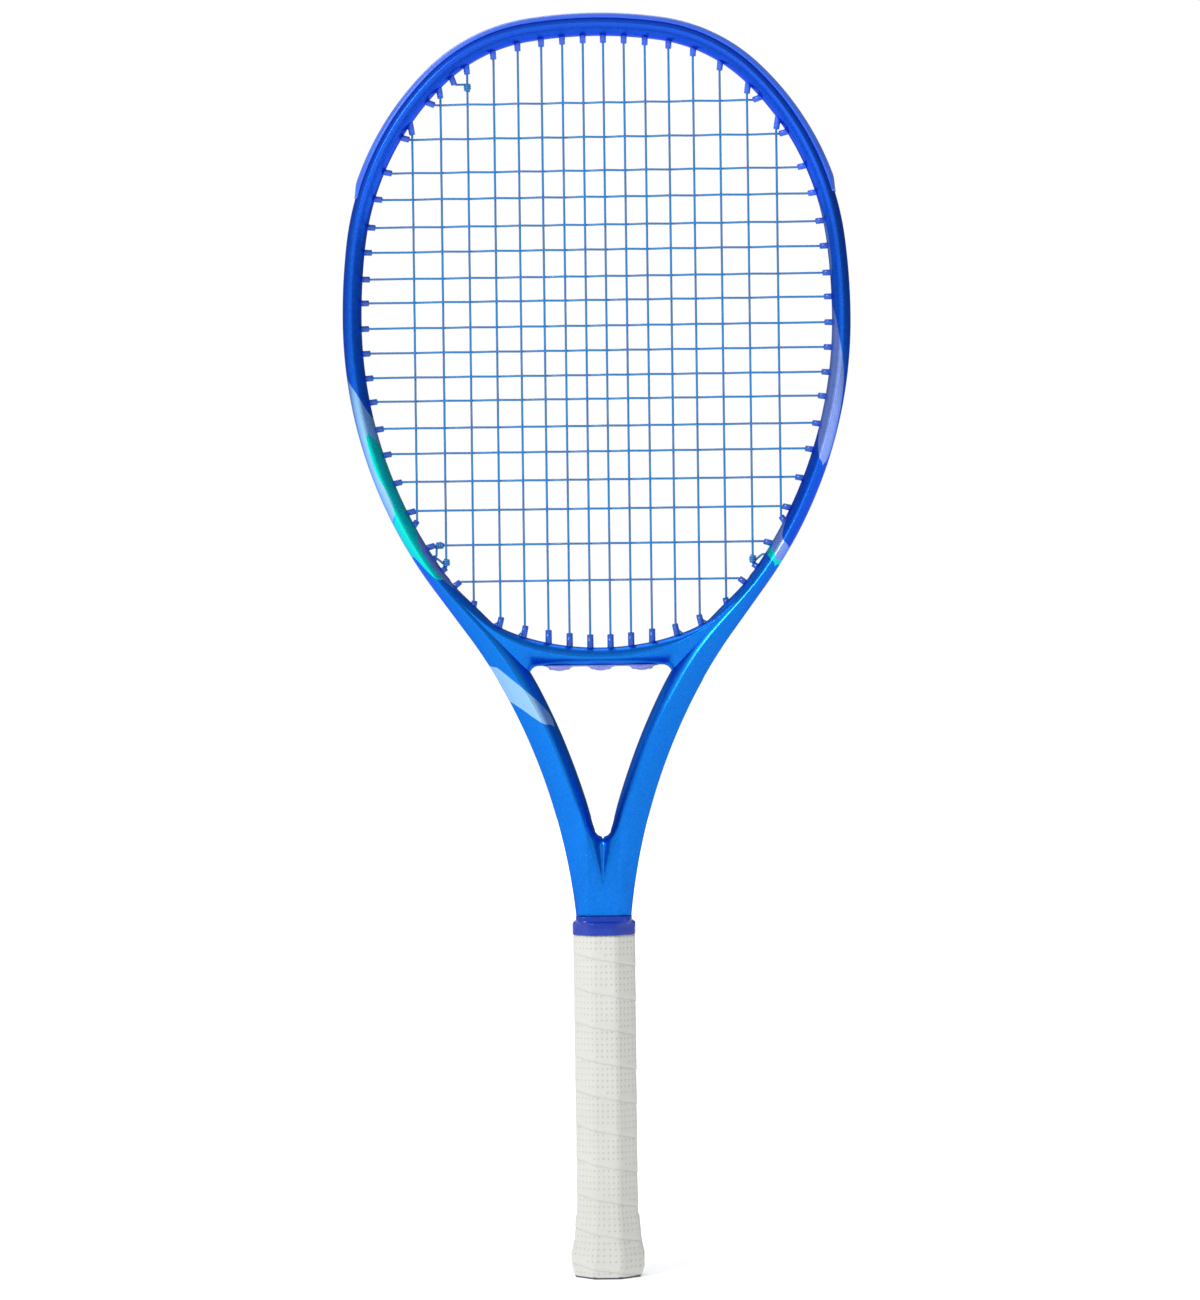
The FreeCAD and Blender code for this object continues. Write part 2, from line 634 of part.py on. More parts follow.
def staples(margin):
    """Four staples that hold the butt cap, two on each side."""
    crown, leg, wire = size("stapleCrown"), size("stapleLeg"), size("stapleWire") + 2 * margin
    shapes = []
    for side in (-1, 1):
        face = size("stapleFace") - size("gripThickness") - 0.85
        for y in (-size("stapleSide"), size("stapleSide")):
            base = size("stapleBottom") - margin
            start = side * (face - margin) if side > 0 else -(face - margin) - wire
            bar = Part.makeBox(wire, wire, crown + 2 * margin, vec(start, y - wire / 2, base))
            legs = []
            for z in (base, base + crown + 2 * margin - wire):
                x = face - leg if side > 0 else -face - 0.01
                legs.append(Part.makeBox(leg + 0.01, wire, wire, vec(x, y - wire / 2, z)))
            shapes.append(bar.fuse(legs))
    return shapes


def stapleTools():
    """Slots for the staples in the cap and the handle, open to the outside."""
    slots = []
    for shape in staples(0.06):
        box = shape.BoundBox
        side = 1 if box.Center.x > 0 else -1
        slots.append(shape)
        x = box.XMax - 0.8 if side > 0 else box.XMin - 1.2
        slots.append(Part.makeBox(2.0, box.YLength, box.ZLength, vec(x, box.YMin, box.ZMin)))
    return slots


def makeButtCap():
    """Moulded cap with a rim that shows below the grip and a doorway in its floor."""
    thickness = size("gripThickness") + 0.05
    body = handleForm(thickness, 0.0, size("capTop"))
    rim = handleForm(0.35, 0.0, size("gripBottom") - 0.1)
    pocket = handleForm(thickness + size("capWall"), size("capFloor"), size("capTop") + 0.1)
    gap, floor = size("doorGap"), size("capFloor")
    length, height = size("doorLength") + 2 * gap, size("doorHeight") + 2 * gap
    doorway = Part.makeBox(length, height, floor + 2, vec(-length / 2, -height / 2, -1))
    ledge = Part.makeBox(3.0, 1.2, 0.7, vec(-1.5, height / 2 - 1.2, floor - 0.7))
    hinge = Part.makeCylinder(size("hingeDiameter") / 2 + 0.15, length + 3.0,
                              vec(-length / 2 - 1.5, hingeLine().y, hingeLine().z), right)
    return body.fuse(rim).cut(pocket).cut(doorway).fuse(ledge).cut(hinge).cut(stapleTools())


def hingeLine():
    return vec(0, -size("doorHeight") / 2 + size("doorThickness") / 2, 0.3 + size("doorThickness") / 2)


def makeTrapDoor():
    """Door in the floor of the cap, from Part primitives: it swings down on two pins."""
    panel = doc.addObject("Part::Box", "door_panel")
    panel.setExpression("Length", "sizes.doorLength")
    panel.setExpression("Width", "sizes.doorHeight - sizes.doorThickness / 2")
    panel.setExpression("Height", "sizes.doorThickness")
    panel.setExpression("Placement.Base.x", "-sizes.doorLength / 2")
    panel.setExpression("Placement.Base.y", "-sizes.doorHeight / 2 + sizes.doorThickness / 2")
    panel.setExpression("Placement.Base.z", "0.3")
    knuckle = doc.addObject("Part::Cylinder", "door_knuckle")
    knuckle.setExpression("Radius", "sizes.doorThickness / 2")
    knuckle.setExpression("Height", "sizes.doorLength")
    pins = doc.addObject("Part::Cylinder", "door_pins")
    pins.setExpression("Radius", "sizes.hingeDiameter / 2")
    pins.setExpression("Height", "sizes.doorLength + 2.4")
    for rodPart, length in ((knuckle, "sizes.doorLength"), (pins, "(sizes.doorLength + 2.4)")):
        rodPart.Placement = FreeCAD.Placement(vec(0, 0, 0), FreeCAD.Rotation(vec(0, 1, 0), 90))
        rodPart.setExpression("Placement.Base.x", "-%s / 2" % length)
        rodPart.setExpression("Placement.Base.y", "-sizes.doorHeight / 2 + sizes.doorThickness / 2")
        rodPart.setExpression("Placement.Base.z", "0.3 + sizes.doorThickness / 2")
    door = doc.addObject("Part::MultiFuse", "butt_cap_door")
    door.Label = "butt_cap_door"
    door.Shapes = [panel, knuckle, pins]
    door.Refine = True
    return door


def makeBalancePlugs():
    """Damping plug in each leg of the hairpin: elliptic, padded from a sketch."""
    body = doc.addObject("PartDesign::Body", "balance_plugs")
    body.Label = "balance_plugs"
    sketch = body.newObject("Sketcher::SketchObject", "plug_section")
    plane = [f for f in body.Origin.OriginFeatures if f.Role == "XY_Plane"][0]
    sketch.AttachmentSupport = [(plane, "")]
    sketch.MapMode = "FlatFace"
    sketch.setExpression("AttachmentOffset.Base.z", "sizes.plugBottom")
    halfWidth = size("handleTubeWidth") / 2 - size("tubeWall") - 0.1
    halfDepth = size("handleTubeDepth") / 2 - size("tubeWall") - 0.1
    for side in (-1, 1):
        middle = vec(side * size("legOffset"), 0, 0)
        sketch.addGeometry(Part.Ellipse(middle + vec(0, halfDepth, 0), middle + vec(halfWidth, 0, 0), middle))
    pad = body.newObject("PartDesign::Pad", "plug_length")
    pad.Profile = sketch
    pad.setExpression("Length", "sizes.plugLength")
    body.Tip = pad
    return body


def makeGrip():
    low, high = size("gripBottom"), size("gripTop")
    thickness = size("gripThickness")
    return handleForm(0.0, low, high).cut(handleForm(thickness, low - 0.5, high + 0.5))


def makeFinishingTape():
    """Thin tape that holds the upper end of the grip, hidden by the collar."""
    low, high = size("tapeBottom"), size("tapeTop")
    thin = size("tapeThickness")
    return handleForm(-thin - 0.05, low, high).cut(handleForm(-0.05, low - 0.1, high + 0.1))


def makeCollar(outer):
    """Rubber collar that covers the top of the grip: a flange and a thin upper band."""
    low, high = size("collarBottom"), size("collarTop")
    w, d = size("collarWidth") / 2, size("collarDepth") / 2
    rings = [octagon(low, w - 0.2, d - 0.2), octagon(low + 0.7, w, d),
             octagon(size("collarFlangeTop"), w, d), octagon(size("collarBandFoot"), w - 1.5, d - 2.2),
             octagon(high, w - 2.0, d - 2.8)]
    solid = Part.makeLoft(rings, True, True)
    thin = size("tapeThickness") + 0.1
    solid = solid.cut(handleForm(-thin, low - 1.0, 190.8))
    solid = solid.cut(outer)
    return max(solid.Solids, key=lambda s: s.Volume)


# ---------------------------------------------------------------- assembly

outerFrame = bothSides(frameSolid(0.0)).fuse(throatWeb())

guardHoles = [h for h in hoopHoles if h.out.z > topHeight]
sideHoles = [h for h in hoopHoles if h.out.z <= topHeight]

addPart("frame", makeFrame(outerFrame))
addPart("throat_bridge", makeBridge(outerFrame))
addPart("bumper_guard", makeGuard(guardHoles))
addPart("grommet_strip_right", makeSideStrip([h for h in sideHoles if h.tip.x > 0]))
addPart("grommet_strip_left", mirrored(makeSideStrip([h.mirror() for h in sideHoles if h.tip.x < 0])))
addPart("bridge_grommet_strip", makeBridgeStrip())
addPart("main_string", makeMainString())
addPart("cross_string", makeCrossString())
addPart("handle_core", makeHandleCore(outerFrame))
addPart("butt_cap", makeButtCap())
addPart("butt_cap_staples", Part.makeCompound(staples(0.0)))
addPart("grip_wrap", makeGrip())
addPart("finishing_tape", makeFinishingTape())
addPart("grip_collar", makeCollar(outerFrame))
makeBalancePlugs()
makeTrapDoor()
doc.recompute()

nodes = ["frame", "throat_bridge", "bumper_guard", "grommet_strip_left", "grommet_strip_right",
         "bridge_grommet_strip", "main_string", "cross_string", "handle_core", "balance_plugs",
         "butt_cap", "butt_cap_door", "butt_cap_staples", "grip_wrap", "finishing_tape", "grip_collar"]
for item in doc.Objects:
    if any(word in item.State for word in ("Invalid", "Error")):
        raise RuntimeError("%s failed: %s" % (item.Name, item.State))
os.makedirs("parts", exist_ok=True)
for name in nodes:
    item = doc.getObjectsByLabel(name)[0]
    if item.Shape.isNull() or not item.Shape.isValid():
        raise RuntimeError("%s has no valid shape" % name)
    box = item.Shape.BoundBox
    print("%-22s solids %2d faces %4d volume %9.0f  z %.1f to %.1f" % (
        name, len(item.Shape.Solids), len(item.Shape.Faces), item.Shape.Volume, box.ZMin, box.ZMax))
    item.Shape.exportStep("parts/%s.step" % name)
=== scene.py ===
import math

import bmesh
import bpy
from mathutils import Matrix, Vector


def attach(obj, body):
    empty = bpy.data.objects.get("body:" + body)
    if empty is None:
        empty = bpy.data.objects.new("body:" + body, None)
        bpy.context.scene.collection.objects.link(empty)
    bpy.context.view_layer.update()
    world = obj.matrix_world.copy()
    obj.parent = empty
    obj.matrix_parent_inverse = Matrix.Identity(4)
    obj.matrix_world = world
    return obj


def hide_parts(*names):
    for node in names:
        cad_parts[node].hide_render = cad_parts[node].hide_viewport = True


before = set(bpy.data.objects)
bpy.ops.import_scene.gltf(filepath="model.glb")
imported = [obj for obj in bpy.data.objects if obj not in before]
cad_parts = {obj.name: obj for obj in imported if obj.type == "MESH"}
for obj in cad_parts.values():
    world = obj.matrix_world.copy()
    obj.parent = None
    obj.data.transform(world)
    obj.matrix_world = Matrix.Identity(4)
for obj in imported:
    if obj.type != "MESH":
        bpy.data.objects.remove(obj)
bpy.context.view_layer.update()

# A tennis racket standing on its butt end. Sizes below are in millimetres and turned into
# metres where a mesh is made. X runs across the head, -Y is the front, Z runs up to the tip.
mm = 0.001

print("stage: outline")
outline = {
    "top": 683.0,             # height of the tube at the tip of the head
    "bends": [                # radius and turn of each arc down one side; minus turns inwards
        (-246.0, 8.5), (-96.0, 35.5), (-156.0, 39.0), (-345.0, 7.0), (-247.5, 36.2),
        (0.0, 31.0),          # a straight run beside the bridge, by its length
        (272.0, 9.0), (326.0, 21.2), (0.0, 12.0)],
    "tubeWidth": 10.2,
    "armWidths": [            # height, and the tube's width there
        (180.0, 15.4), (208.0, 16.6), (226.0, 17.6), (246.0, 18.0), (270.0, 17.7),
        (296.0, 17.6), (320.0, 17.4), (337.0, 16.4), (352.0, 13.6), (373.0, 10.2)],
}


def along(run, distance):
    start, x, z, heading, curve, length = run
    if curve == 0.0:
        return x + distance * math.cos(heading), z + distance * math.sin(heading), heading
    turned = heading + curve * distance
    return (x + (math.sin(turned) - math.sin(heading)) / curve,
            z - (math.cos(turned) - math.cos(heading)) / curve, turned)


def outlineRuns():
    runs, start, x, z, heading = [], 0.0, 0.0, outline["top"], 0.0
    for radius, turn in outline["bends"]:
        curve = 1.0 / radius if radius else 0.0
        length = abs(radius) * math.radians(turn) if radius else turn
        runs.append((start, x, z, heading, curve, length))
        x, z, heading = along(runs[-1], length)
        start += length
    return runs


runs = outlineRuns()
hoopEnd = runs[5][0]          # the straight run beside the bridge begins
widestRun = runs[3][0]        # the head is widest
outlineEnd = runs[-1][0] + runs[-1][5]


def edgeAt(run, inset=0.0, y=0.0):
    piece = [r for r in runs if r[0] <= run + 1e-9][-1]
    x, z, heading = along(piece, run - piece[0])
    normal = Vector((-math.sin(heading), 0.0, math.cos(heading)))
    return Vector((x, y, z)) - normal * inset, normal


def findRun(axis, value, inset, low, high):
    number = "xyz".index(axis)
    rising = edgeAt(high, inset)[0][number] > edgeAt(low, inset)[0][number]
    for _ in range(40):
        middle = (low + high) / 2
        if (edgeAt(middle, inset)[0][number] < value) == rising:
            low = middle
        else:
            high = middle
    return (low + high) / 2


def through(rows, value):
    # a smooth curve through rows of place and value
    if value <= rows[0][0]:
        return rows[0][1]
    if value >= rows[-1][0]:
        return rows[-1][1]
    slopes = [(b[1] - a[1]) / (b[0] - a[0]) for a, b in zip(rows, rows[1:])]
    for i, ((x0, y0), (x1, y1)) in enumerate(zip(rows, rows[1:])):
        if x0 <= value <= x1:
            step = x1 - x0
            before = 0.0 if i == 0 else (slopes[i - 1] + slopes[i]) / 2
            after = 0.0 if i == len(slopes) - 1 else (slopes[i] + slopes[i + 1]) / 2
            u = (value - x0) / step
            return (y0 * (1 + 2 * u) * (1 - u) ** 2 + before * step * u * (1 - u) ** 2
                    + y1 * u * u * (3 - 2 * u) + after * step * u * u * (u - 1))


def blendShare(value, low, high):
    share = min(1.0, max(0.0, (value - low) / (high - low)))
    return share * share * (3 - 2 * share)


# meshes and materials, general


def newMesh(name, points, faces, uvs=None):
    mesh = bpy.data.meshes.new(name)
    mesh.from_pydata([Vector(p) * mm for p in points], [], faces)
    if uvs:
        layer = mesh.uv_layers.new(name="along")
        for loop in mesh.loops:
            layer.data[loop.index].uv = uvs[loop.vertex_index]
    return mesh


def cleanMesh(mesh, weld=0.004, fill=False):
    bm = bmesh.new()
    bm.from_mesh(mesh)
    bmesh.ops.remove_doubles(bm, verts=bm.verts, dist=weld * mm)
    bmesh.ops.dissolve_degenerate(bm, edges=bm.edges, dist=weld * mm)
    if fill:
        bmesh.ops.holes_fill(bm, edges=[e for e in bm.edges if e.is_boundary], sides=0)
    bmesh.ops.recalc_face_normals(bm, faces=bm.faces)
    bm.to_mesh(mesh)
    bm.free()
    for polygon in mesh.polygons:
        polygon.use_smooth = True
    return mesh


def addObject(name, data):
    item = bpy.data.objects.new(name, data)
    bpy.context.scene.collection.objects.link(item)
    return item


def addPiece(name, mesh, material, body="racket", stands=()):
    mesh.materials.clear()
    mesh.materials.append(material)
    piece = addObject(name, mesh)
    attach(piece, body)
    if stands:
        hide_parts(*stands)
    return piece


def joinMeshes(name, meshes):
    bm = bmesh.new()
    for mesh in meshes:
        bm.from_mesh(mesh)
    joined = bpy.data.meshes.new(name)
    bm.to_mesh(joined)
    bm.free()
    return joined


def gridFaces(rows, columns, closed=False):
    faces = []
    for i in range(rows - 1):
        for j in range(columns if closed else columns - 1):
            k = (j + 1) % columns
            low, high = i * columns, (i + 1) * columns
            faces.append((low + j, low + k, high + k, high + j))
    return faces


def colour(red, green, blue):
    def linear(value):
        value /= 255.0
        return value / 12.92 if value <= 0.04045 else ((value + 0.055) / 1.055) ** 2.4
    return (linear(red), linear(green), linear(blue), 1.0)


class Nodes:

    def __init__(self, name):
        self.material = bpy.data.materials.new(name)
        self.material.use_nodes = True
        self.tree = self.material.node_tree
        self.shader = self.tree.nodes["Principled BSDF"]

    def add(self, kind, **settings):
        node = self.tree.nodes.new(kind)
        for key, value in settings.items():
            setattr(node, key, value)
        return node

    def link(self, output, socket):
        self.tree.links.new(output, socket)
        return output

    def put(self, value, socket):
        if hasattr(value, "is_output"):
            self.tree.links.new(value, socket)
        else:
            socket.default_value = value

    def math(self, operation, first, second=0.0, third=None):
        node = self.add("ShaderNodeMath", operation=operation)
        self.put(first, node.inputs[0])
        self.put(second, node.inputs[1])
        if third is not None:
            self.put(third, node.inputs[2])
        return node.outputs[0]

    def spread(self, value, low, high, lowTo=0.0, highTo=1.0):
        node = self.add("ShaderNodeMapRange", interpolation_type="SMOOTHSTEP")
        for number, item in enumerate((value, low, high, lowTo, highTo)):
            self.put(item, node.inputs[number])
        return node.outputs[0]

    def mix(self, share, first, second, blend="MIX"):
        node = self.add("ShaderNodeMix", data_type="RGBA", blend_type=blend)
        self.put(share, node.inputs[0])
        self.put(first, node.inputs[6])
        self.put(second, node.inputs[7])
        return node.outputs[2]

    def place(self):
        return self.add("ShaderNodeTexCoord").outputs["Object"]

    def noise(self, vector, scale, detail=3.0, rough=0.5):
        node = self.add("ShaderNodeTexNoise")
        self.link(vector, node.inputs["Vector"])
        node.inputs["Scale"].default_value = scale
        node.inputs["Detail"].default_value = detail
        node.inputs["Roughness"].default_value = rough
        return node.outputs["Fac"]

    def cells(self, vector, scale):
        node = self.add("ShaderNodeTexVoronoi")
        self.link(vector, node.inputs["Vector"])
        node.inputs["Scale"].default_value = scale
        return node

    def bump(self, height, strength, distance, before=None):
        node = self.add("ShaderNodeBump")
        node.inputs["Strength"].default_value = strength
        node.inputs["Distance"].default_value = distance * mm
        self.link(height, node.inputs["Height"])
        if before is not None:
            self.link(before, node.inputs["Normal"])
        return node.outputs["Normal"]

    def curve(self, value, points):
        node = self.add("ShaderNodeFloatCurve")
        line = node.mapping.curves[0]
        line.points[0].location, line.points[1].location = points[0], points[-1]
        for x, y in points[1:-1]:
            line.points.new(x, y)
        node.mapping.update()
        self.put(value, node.inputs["Value"])
        return node.outputs[0]

    def finish(self, base, roughness, normal=None, **sockets):
        self.put(base, self.shader.inputs["Base Color"])
        self.put(roughness, self.shader.inputs["Roughness"])
        if normal is not None:
            self.link(normal, self.shader.inputs["Normal"])
        for name, value in sockets.items():
            self.put(value, self.shader.inputs[name.replace("_", " ")])
        return self.material


# paint

paint = {
    "throat": colour(0, 110, 208),
    "head": colour(5, 98, 216),
    "tip": colour(20, 80, 205),
    "paleBlue": colour(138, 186, 232),
    "periwinkle": colour(126, 150, 220),
    "teal": colour(0, 212, 200),
    "deep": colour(3, 78, 198),
    "edge": colour(140, 162, 238),    # the finish darkens where it is seen at a slant
    "fadeLow": 350.0,
    "fadeMiddle": 416.0,
    "fadeHigh": 660.0,
    "flakes": (2600.0, 0.06, colour(150, 205, 255)),     # scale, share and colour
    "clouds": (9.0, 0.1, colour(10, 30, 150)),
    "roughness": (0.27, 0.35),
    "orangePeel": (420.0, 0.03, 0.15),                   # scale, strength and depth
    "metallic": 0.94,
    "coat": 0.05,
    "coatRoughness": 0.16,
    "patchEdge": 0.012,       # softness of a patch's border
}

# Patches of colour: side (-1 left, 1 right), colour, then the patch's two borders as
# (run along the outer edge, distance in from it); a border lies between them at every run.
patches = [
    (-1, "paleBlue", [(268, -1), (366, -1)],
     [(268, -1), (273, 0), (286, 5.2), (299, 10.0), (304, 13.5), (330, 13.5), (352, 8.0), (366, -1)]),
    (-1, "teal", [(306, 6.2), (309, 4.4), (316, 3.7), (328, 3.4), (338, 4.5), (346, 5.1), (352, 4.4),
                  (358.5, 1.2), (362, -1), (376, -1), (380.5, 1.5), (392, 3.6), (398.5, 5.4), (402, 9.1)],
     [(306, 6.3), (311, 8.4), (318, 10.9), (326, 13.5), (390, 13.5), (398, 11.5), (402, 9.3)]),
    (-1, "periwinkle", [(366, 9.8), (374, 7.8), (382, 6.9), (390, 7.0), (400, 7.9), (408, 9.6),
                        (416, 12.0), (424, 16)],
     [(366, 12), (374, 13.5), (402, 16), (424, 16.5)]),
    (-1, "paleBlue", [(446, -1), (472, -0.6), (475, 0.7), (481, 4.2), (488, 8.1), (494, 12.6), (496.5, 15.8)],
     [(446, -1), (455, 3.6), (461, 5.9), (474, 11.2), (485.5, 15.4), (493, 16.8), (496.5, 16.2)]),
    (1, "periwinkle", [(150, 11.4), (170, 10.2), (219, 9.0), (226, 10.2)],
     [(150, 12.4), (170, 13.0), (219, 12.6), (226, 10.2)]),
    (1, "teal", [(364, -1), (384.5, -1), (387, 0), (389.5, 1.8)],
     [(364, 14), (376, 13.5), (380.5, 11.6), (387, 8.3), (389.5, 2.0)]),
    (1, "periwinkle", [(350, -1), (384, -1), (386, 3.9)],
     [(350, 14), (366, 14), (375.5, 10.9), (382.5, 8.1), (386, 4.0)]),
    (1, "deep", [(300, -1), (374, -1), (377, 1.0)],
     [(300, 14), (350, 12.4), (355.5, 10.9), (369, 8.5), (375, 5.5), (377, 1.1)]),
    (1, "periwinkle", [(232, 10.4), (246, 8.2), (258.5, 5.9), (270, 3.4), (282, 1.6), (300, 0.7),
                       (318, 0.5), (326, 1.2), (329, 2.4)],
     [(232, 12.0), (258, 12.6), (300, 12.4), (308, 10.4), (318, 8.4), (326, 5.0), (329, 2.6)]),
]
patchRange = {"runLow": 140.0, "runSpan": 380.0, "insetLow": -2.0, "insetSpan": 22.0}


def addPatches(m, base):
    uv = m.add("ShaderNodeUVMap", uv_map="along")
    parts = m.add("ShaderNodeSeparateXYZ")
    m.link(uv.outputs[0], parts.inputs[0])
    signedRun, inset = parts.outputs[0], parts.outputs[1]
    run = m.math("ABSOLUTE", signedRun)
    runLow, runSpan = patchRange["runLow"], patchRange["runSpan"]
    insetLow, insetSpan = patchRange["insetLow"], patchRange["insetSpan"]
    share = m.math("DIVIDE", m.math("SUBTRACT", run, runLow), runSpan)
    level = m.math("DIVIDE", m.math("SUBTRACT", inset, insetLow), insetSpan)
    sides = {-1: m.math("LESS_THAN", signedRun, 0.0), 1: m.math("GREATER_THAN", signedRun, 0.0)}

    def border(rows):
        points = [((a - runLow) / runSpan, (b - insetLow) / insetSpan) for a, b in rows]
        return m.curve(share, [(0.0, points[0][1])] + points + [(1.0, points[-1][1])])

    for side, tint, near, far in patches:
        start, end = max(near[0][0], far[0][0]), min(near[-1][0], far[-1][0])
        above = m.spread(m.math("SUBTRACT", level, border(near)), 0.0, paint["patchEdge"])
        below = m.spread(m.math("SUBTRACT", border(far), level), 0.0, paint["patchEdge"])
        reach = m.math("MULTIPLY", m.math("GREATER_THAN", run, start), m.math("LESS_THAN", run, end))
        here = m.math("MULTIPLY", reach, sides[side])
        base = m.mix(m.math("MULTIPLY", m.math("MULTIPLY", above, below), here), base, paint[tint])
    return base


def makePaint(name, patterned=True):
    m = Nodes(name)
    place = m.place()
    parts = m.add("ShaderNodeSeparateXYZ")
    m.link(place, parts.inputs[0])
    height = parts.outputs[2]
    low = m.spread(height, paint["fadeLow"] * mm, paint["fadeMiddle"] * mm)
    high = m.spread(height, paint["fadeMiddle"] * mm, paint["fadeHigh"] * mm)
    base = m.mix(high, m.mix(low, paint["throat"], paint["head"]), paint["tip"])
    if patterned:
        base = addPatches(m, base)
    scale, share, tint = paint["flakes"]
    sparkle = m.spread(m.noise(m.cells(place, scale).outputs["Color"], 3.0, 0.0), 0.35, 0.8)
    base = m.mix(m.math("MULTIPLY", sparkle, share), base, tint, "SCREEN")
    scale, share, tint = paint["clouds"]
    base = m.mix(m.math("MULTIPLY", m.noise(place, scale, 2.0), share), base, tint, "MULTIPLY")
    rough = m.spread(m.noise(place, 260.0, 3.0), 0.3, 0.75, *paint["roughness"])
    scale, strength, depth = paint["orangePeel"]
    peel = m.bump(m.noise(place, scale, 2.0), strength, depth)
    return m.finish(base, rough, peel, Metallic=paint["metallic"], Specular_Tint=paint["edge"],
                    Coat_Weight=paint["coat"], Coat_Roughness=paint["coatRoughness"])


# carbon frame

tube = {
    "crestInset": [(215.0, 8.6), (236.0, 13.4), (260.0, 11.9), (298.0, 11.2), (314.0, 10.2),
                   (329.0, 9.5), (345.0, 8.2), (358.0, 6.6), (373.0, 5.1), (420.0, 4.8)],
    "halfDepths": [(186.0, 9.8), (195.0, 10.5), (203.0, 11.6), (212.0, 12.0), (400.0, 12.0)],
    "grooveHalf": 2.8,
    "grooveDepth": 2.6,
    "grooveEnd": 326.0,
    "shoulder": 1.42,         # how sharp the crest is; 2 is an oval
    "fullness": 2.15,         # how flat the walls are
    "armSlant": 0.2,          # the arms fall away towards their outer edge
    "slantHeights": (192.0, 225.0, 360.0, 420.0),     # the slant grows in, then fades out
    "forkTop": 242.5,         # centre of the round bottom of the throat opening
    "forkRadius": 4.5,
    "forkRim": 2.4,           # rounding of the opening's rim
    "notchEnd": 214.5,        # where the notch below it runs out
    "notchHalf": 7.4,         # half width of the notch at the opening
    "notchTip": 0.6,
    "webShare": 0.62,         # thickness left there, as a share of the shaft's
    "crestHalf": 8.1,         # half width of the flat front of the shaft
    "flatShare": 0.35,        # the crest reaches it this far down the shaft
    "shaftStart": 241.0,
    "bottom": 187.0,
    "step": 2.0,
    "arcPoints": 9,
}


def quarter(count):
    rows = []
    for i in range(count + 1):
        angle = math.pi / 2 * i / count
        rows.append((math.sin(angle) ** (2 / tube["shoulder"]), math.cos(angle) ** (2 / tube["fullness"])))
    return rows


def notchRise(p):
    # rounded rim of the throat opening, then a shallow hollow that narrows and runs out downwards
    rim = max(0.0, math.hypot(p.x, p.z - tube["forkTop"]) - tube["forkRadius"])
    rim = min(1.0, rim / tube["forkRim"])
    foot = tube["forkTop"] - tube["forkRadius"]
    share = min(1.0, max(0.0, (p.z - tube["notchEnd"]) / (foot - tube["notchEnd"])))
    across = min(1.0, abs(p.x) / (tube["notchTip"] + tube["notchHalf"] * share))
    hollow = 0.5 + 0.5 * math.cos(math.pi * across)
    web = tube["webShare"]
    return web * (1 - (1 - rim) ** 2) ** 0.5 + (1 - web) * (1 - hollow * share ** 0.8)


def shaftInner(edge):
    # the inner line leaves the arm, rounds the opening's bottom and runs down the middle plane
    start, radius, bottom = tube["shaftStart"], tube["forkRadius"], tube["bottom"]
    share = (start - edge.z) / (start - bottom)
    top = Vector((radius, 0, tube["forkTop"]))
    begin, normal = edgeAt(findRun("z", start, 0.0, hoopEnd, outlineEnd))
    begin -= normal * through(outline["armWidths"], begin.z)
    lead, arc = (begin - top).length, radius * math.pi / 2
    path = share * (lead + arc + tube["forkTop"] - radius - bottom)
    if path < lead:
        inner = begin.lerp(top, path / lead)
    elif path < lead + arc:
        angle = (path - lead) / radius
        inner = Vector((radius * math.cos(angle), 0, tube["forkTop"] - radius * math.sin(angle)))
    else:
        inner = Vector((0, 0, tube["forkTop"] - radius - (path - lead - arc)))
    inner.x = max(0.0, inner.x)
    return inner, share, blendShare(path, 0.0, lead + arc)


def frameRing(run):
    edge, normal = edgeAt(run)
    crest = edge - normal * through(tube["crestInset"], edge.z)
    inner = edge - normal * through(outline["armWidths"], edge.z)
    depth, notchShare = through(tube["halfDepths"], edge.z), 0.0
    if edge.z < tube["shaftStart"]:
        inner, share, notchShare = shaftInner(edge)
        flat = Vector((tube["crestHalf"], 0, (edge.z + inner.z) / 2))
        crest = crest.lerp(flat, blendShare(share, 0.0, tube["flatShare"]))
    growFrom, growTo, fadeFrom, fadeTo = tube["slantHeights"]
    slant = tube["armSlant"] * blendShare(edge.z, growFrom, growTo) * blendShare(-edge.z, -fadeTo, -fadeFrom)
    half, deep, front = tube["grooveHalf"], tube["grooveDepth"], []
    for across, up in reversed(quarter(tube["arcPoints"] + 5)):    # from the inner edge to the crest
        p = crest.lerp(inner, across)
        up += (notchRise(p) - up) * notchShare
        front.append((p, -depth * up))
    for across, up in quarter(tube["arcPoints"])[1:]:          # from the crest to the groove
        y = -depth * up * (1 - slant * across)
        if -y < half + 0.5:
            break
        front.append((crest.lerp(edge, across), y))
    groove = blendShare(edge.z, tube["grooveEnd"] - 4, tube["grooveEnd"] + 5)
    lip = [(0.3, half + 0.42), (0.16, half + 0.12), (0.3, half)]
    wall = [(0.9, half - 0.04), (deep - 0.3, half - 0.1), (deep, half - 0.4), (deep, 0.9)]
    for inset, y in lip + [(inset * groove, y) for inset, y in wall]:
        front.append((edge - normal * inset, -y))
    ring = [Vector((p.x, y, p.z)) for p, y in front]
    return ring + [Vector((p.x, -p.y, p.z)) for p in reversed(ring)], edge, normal


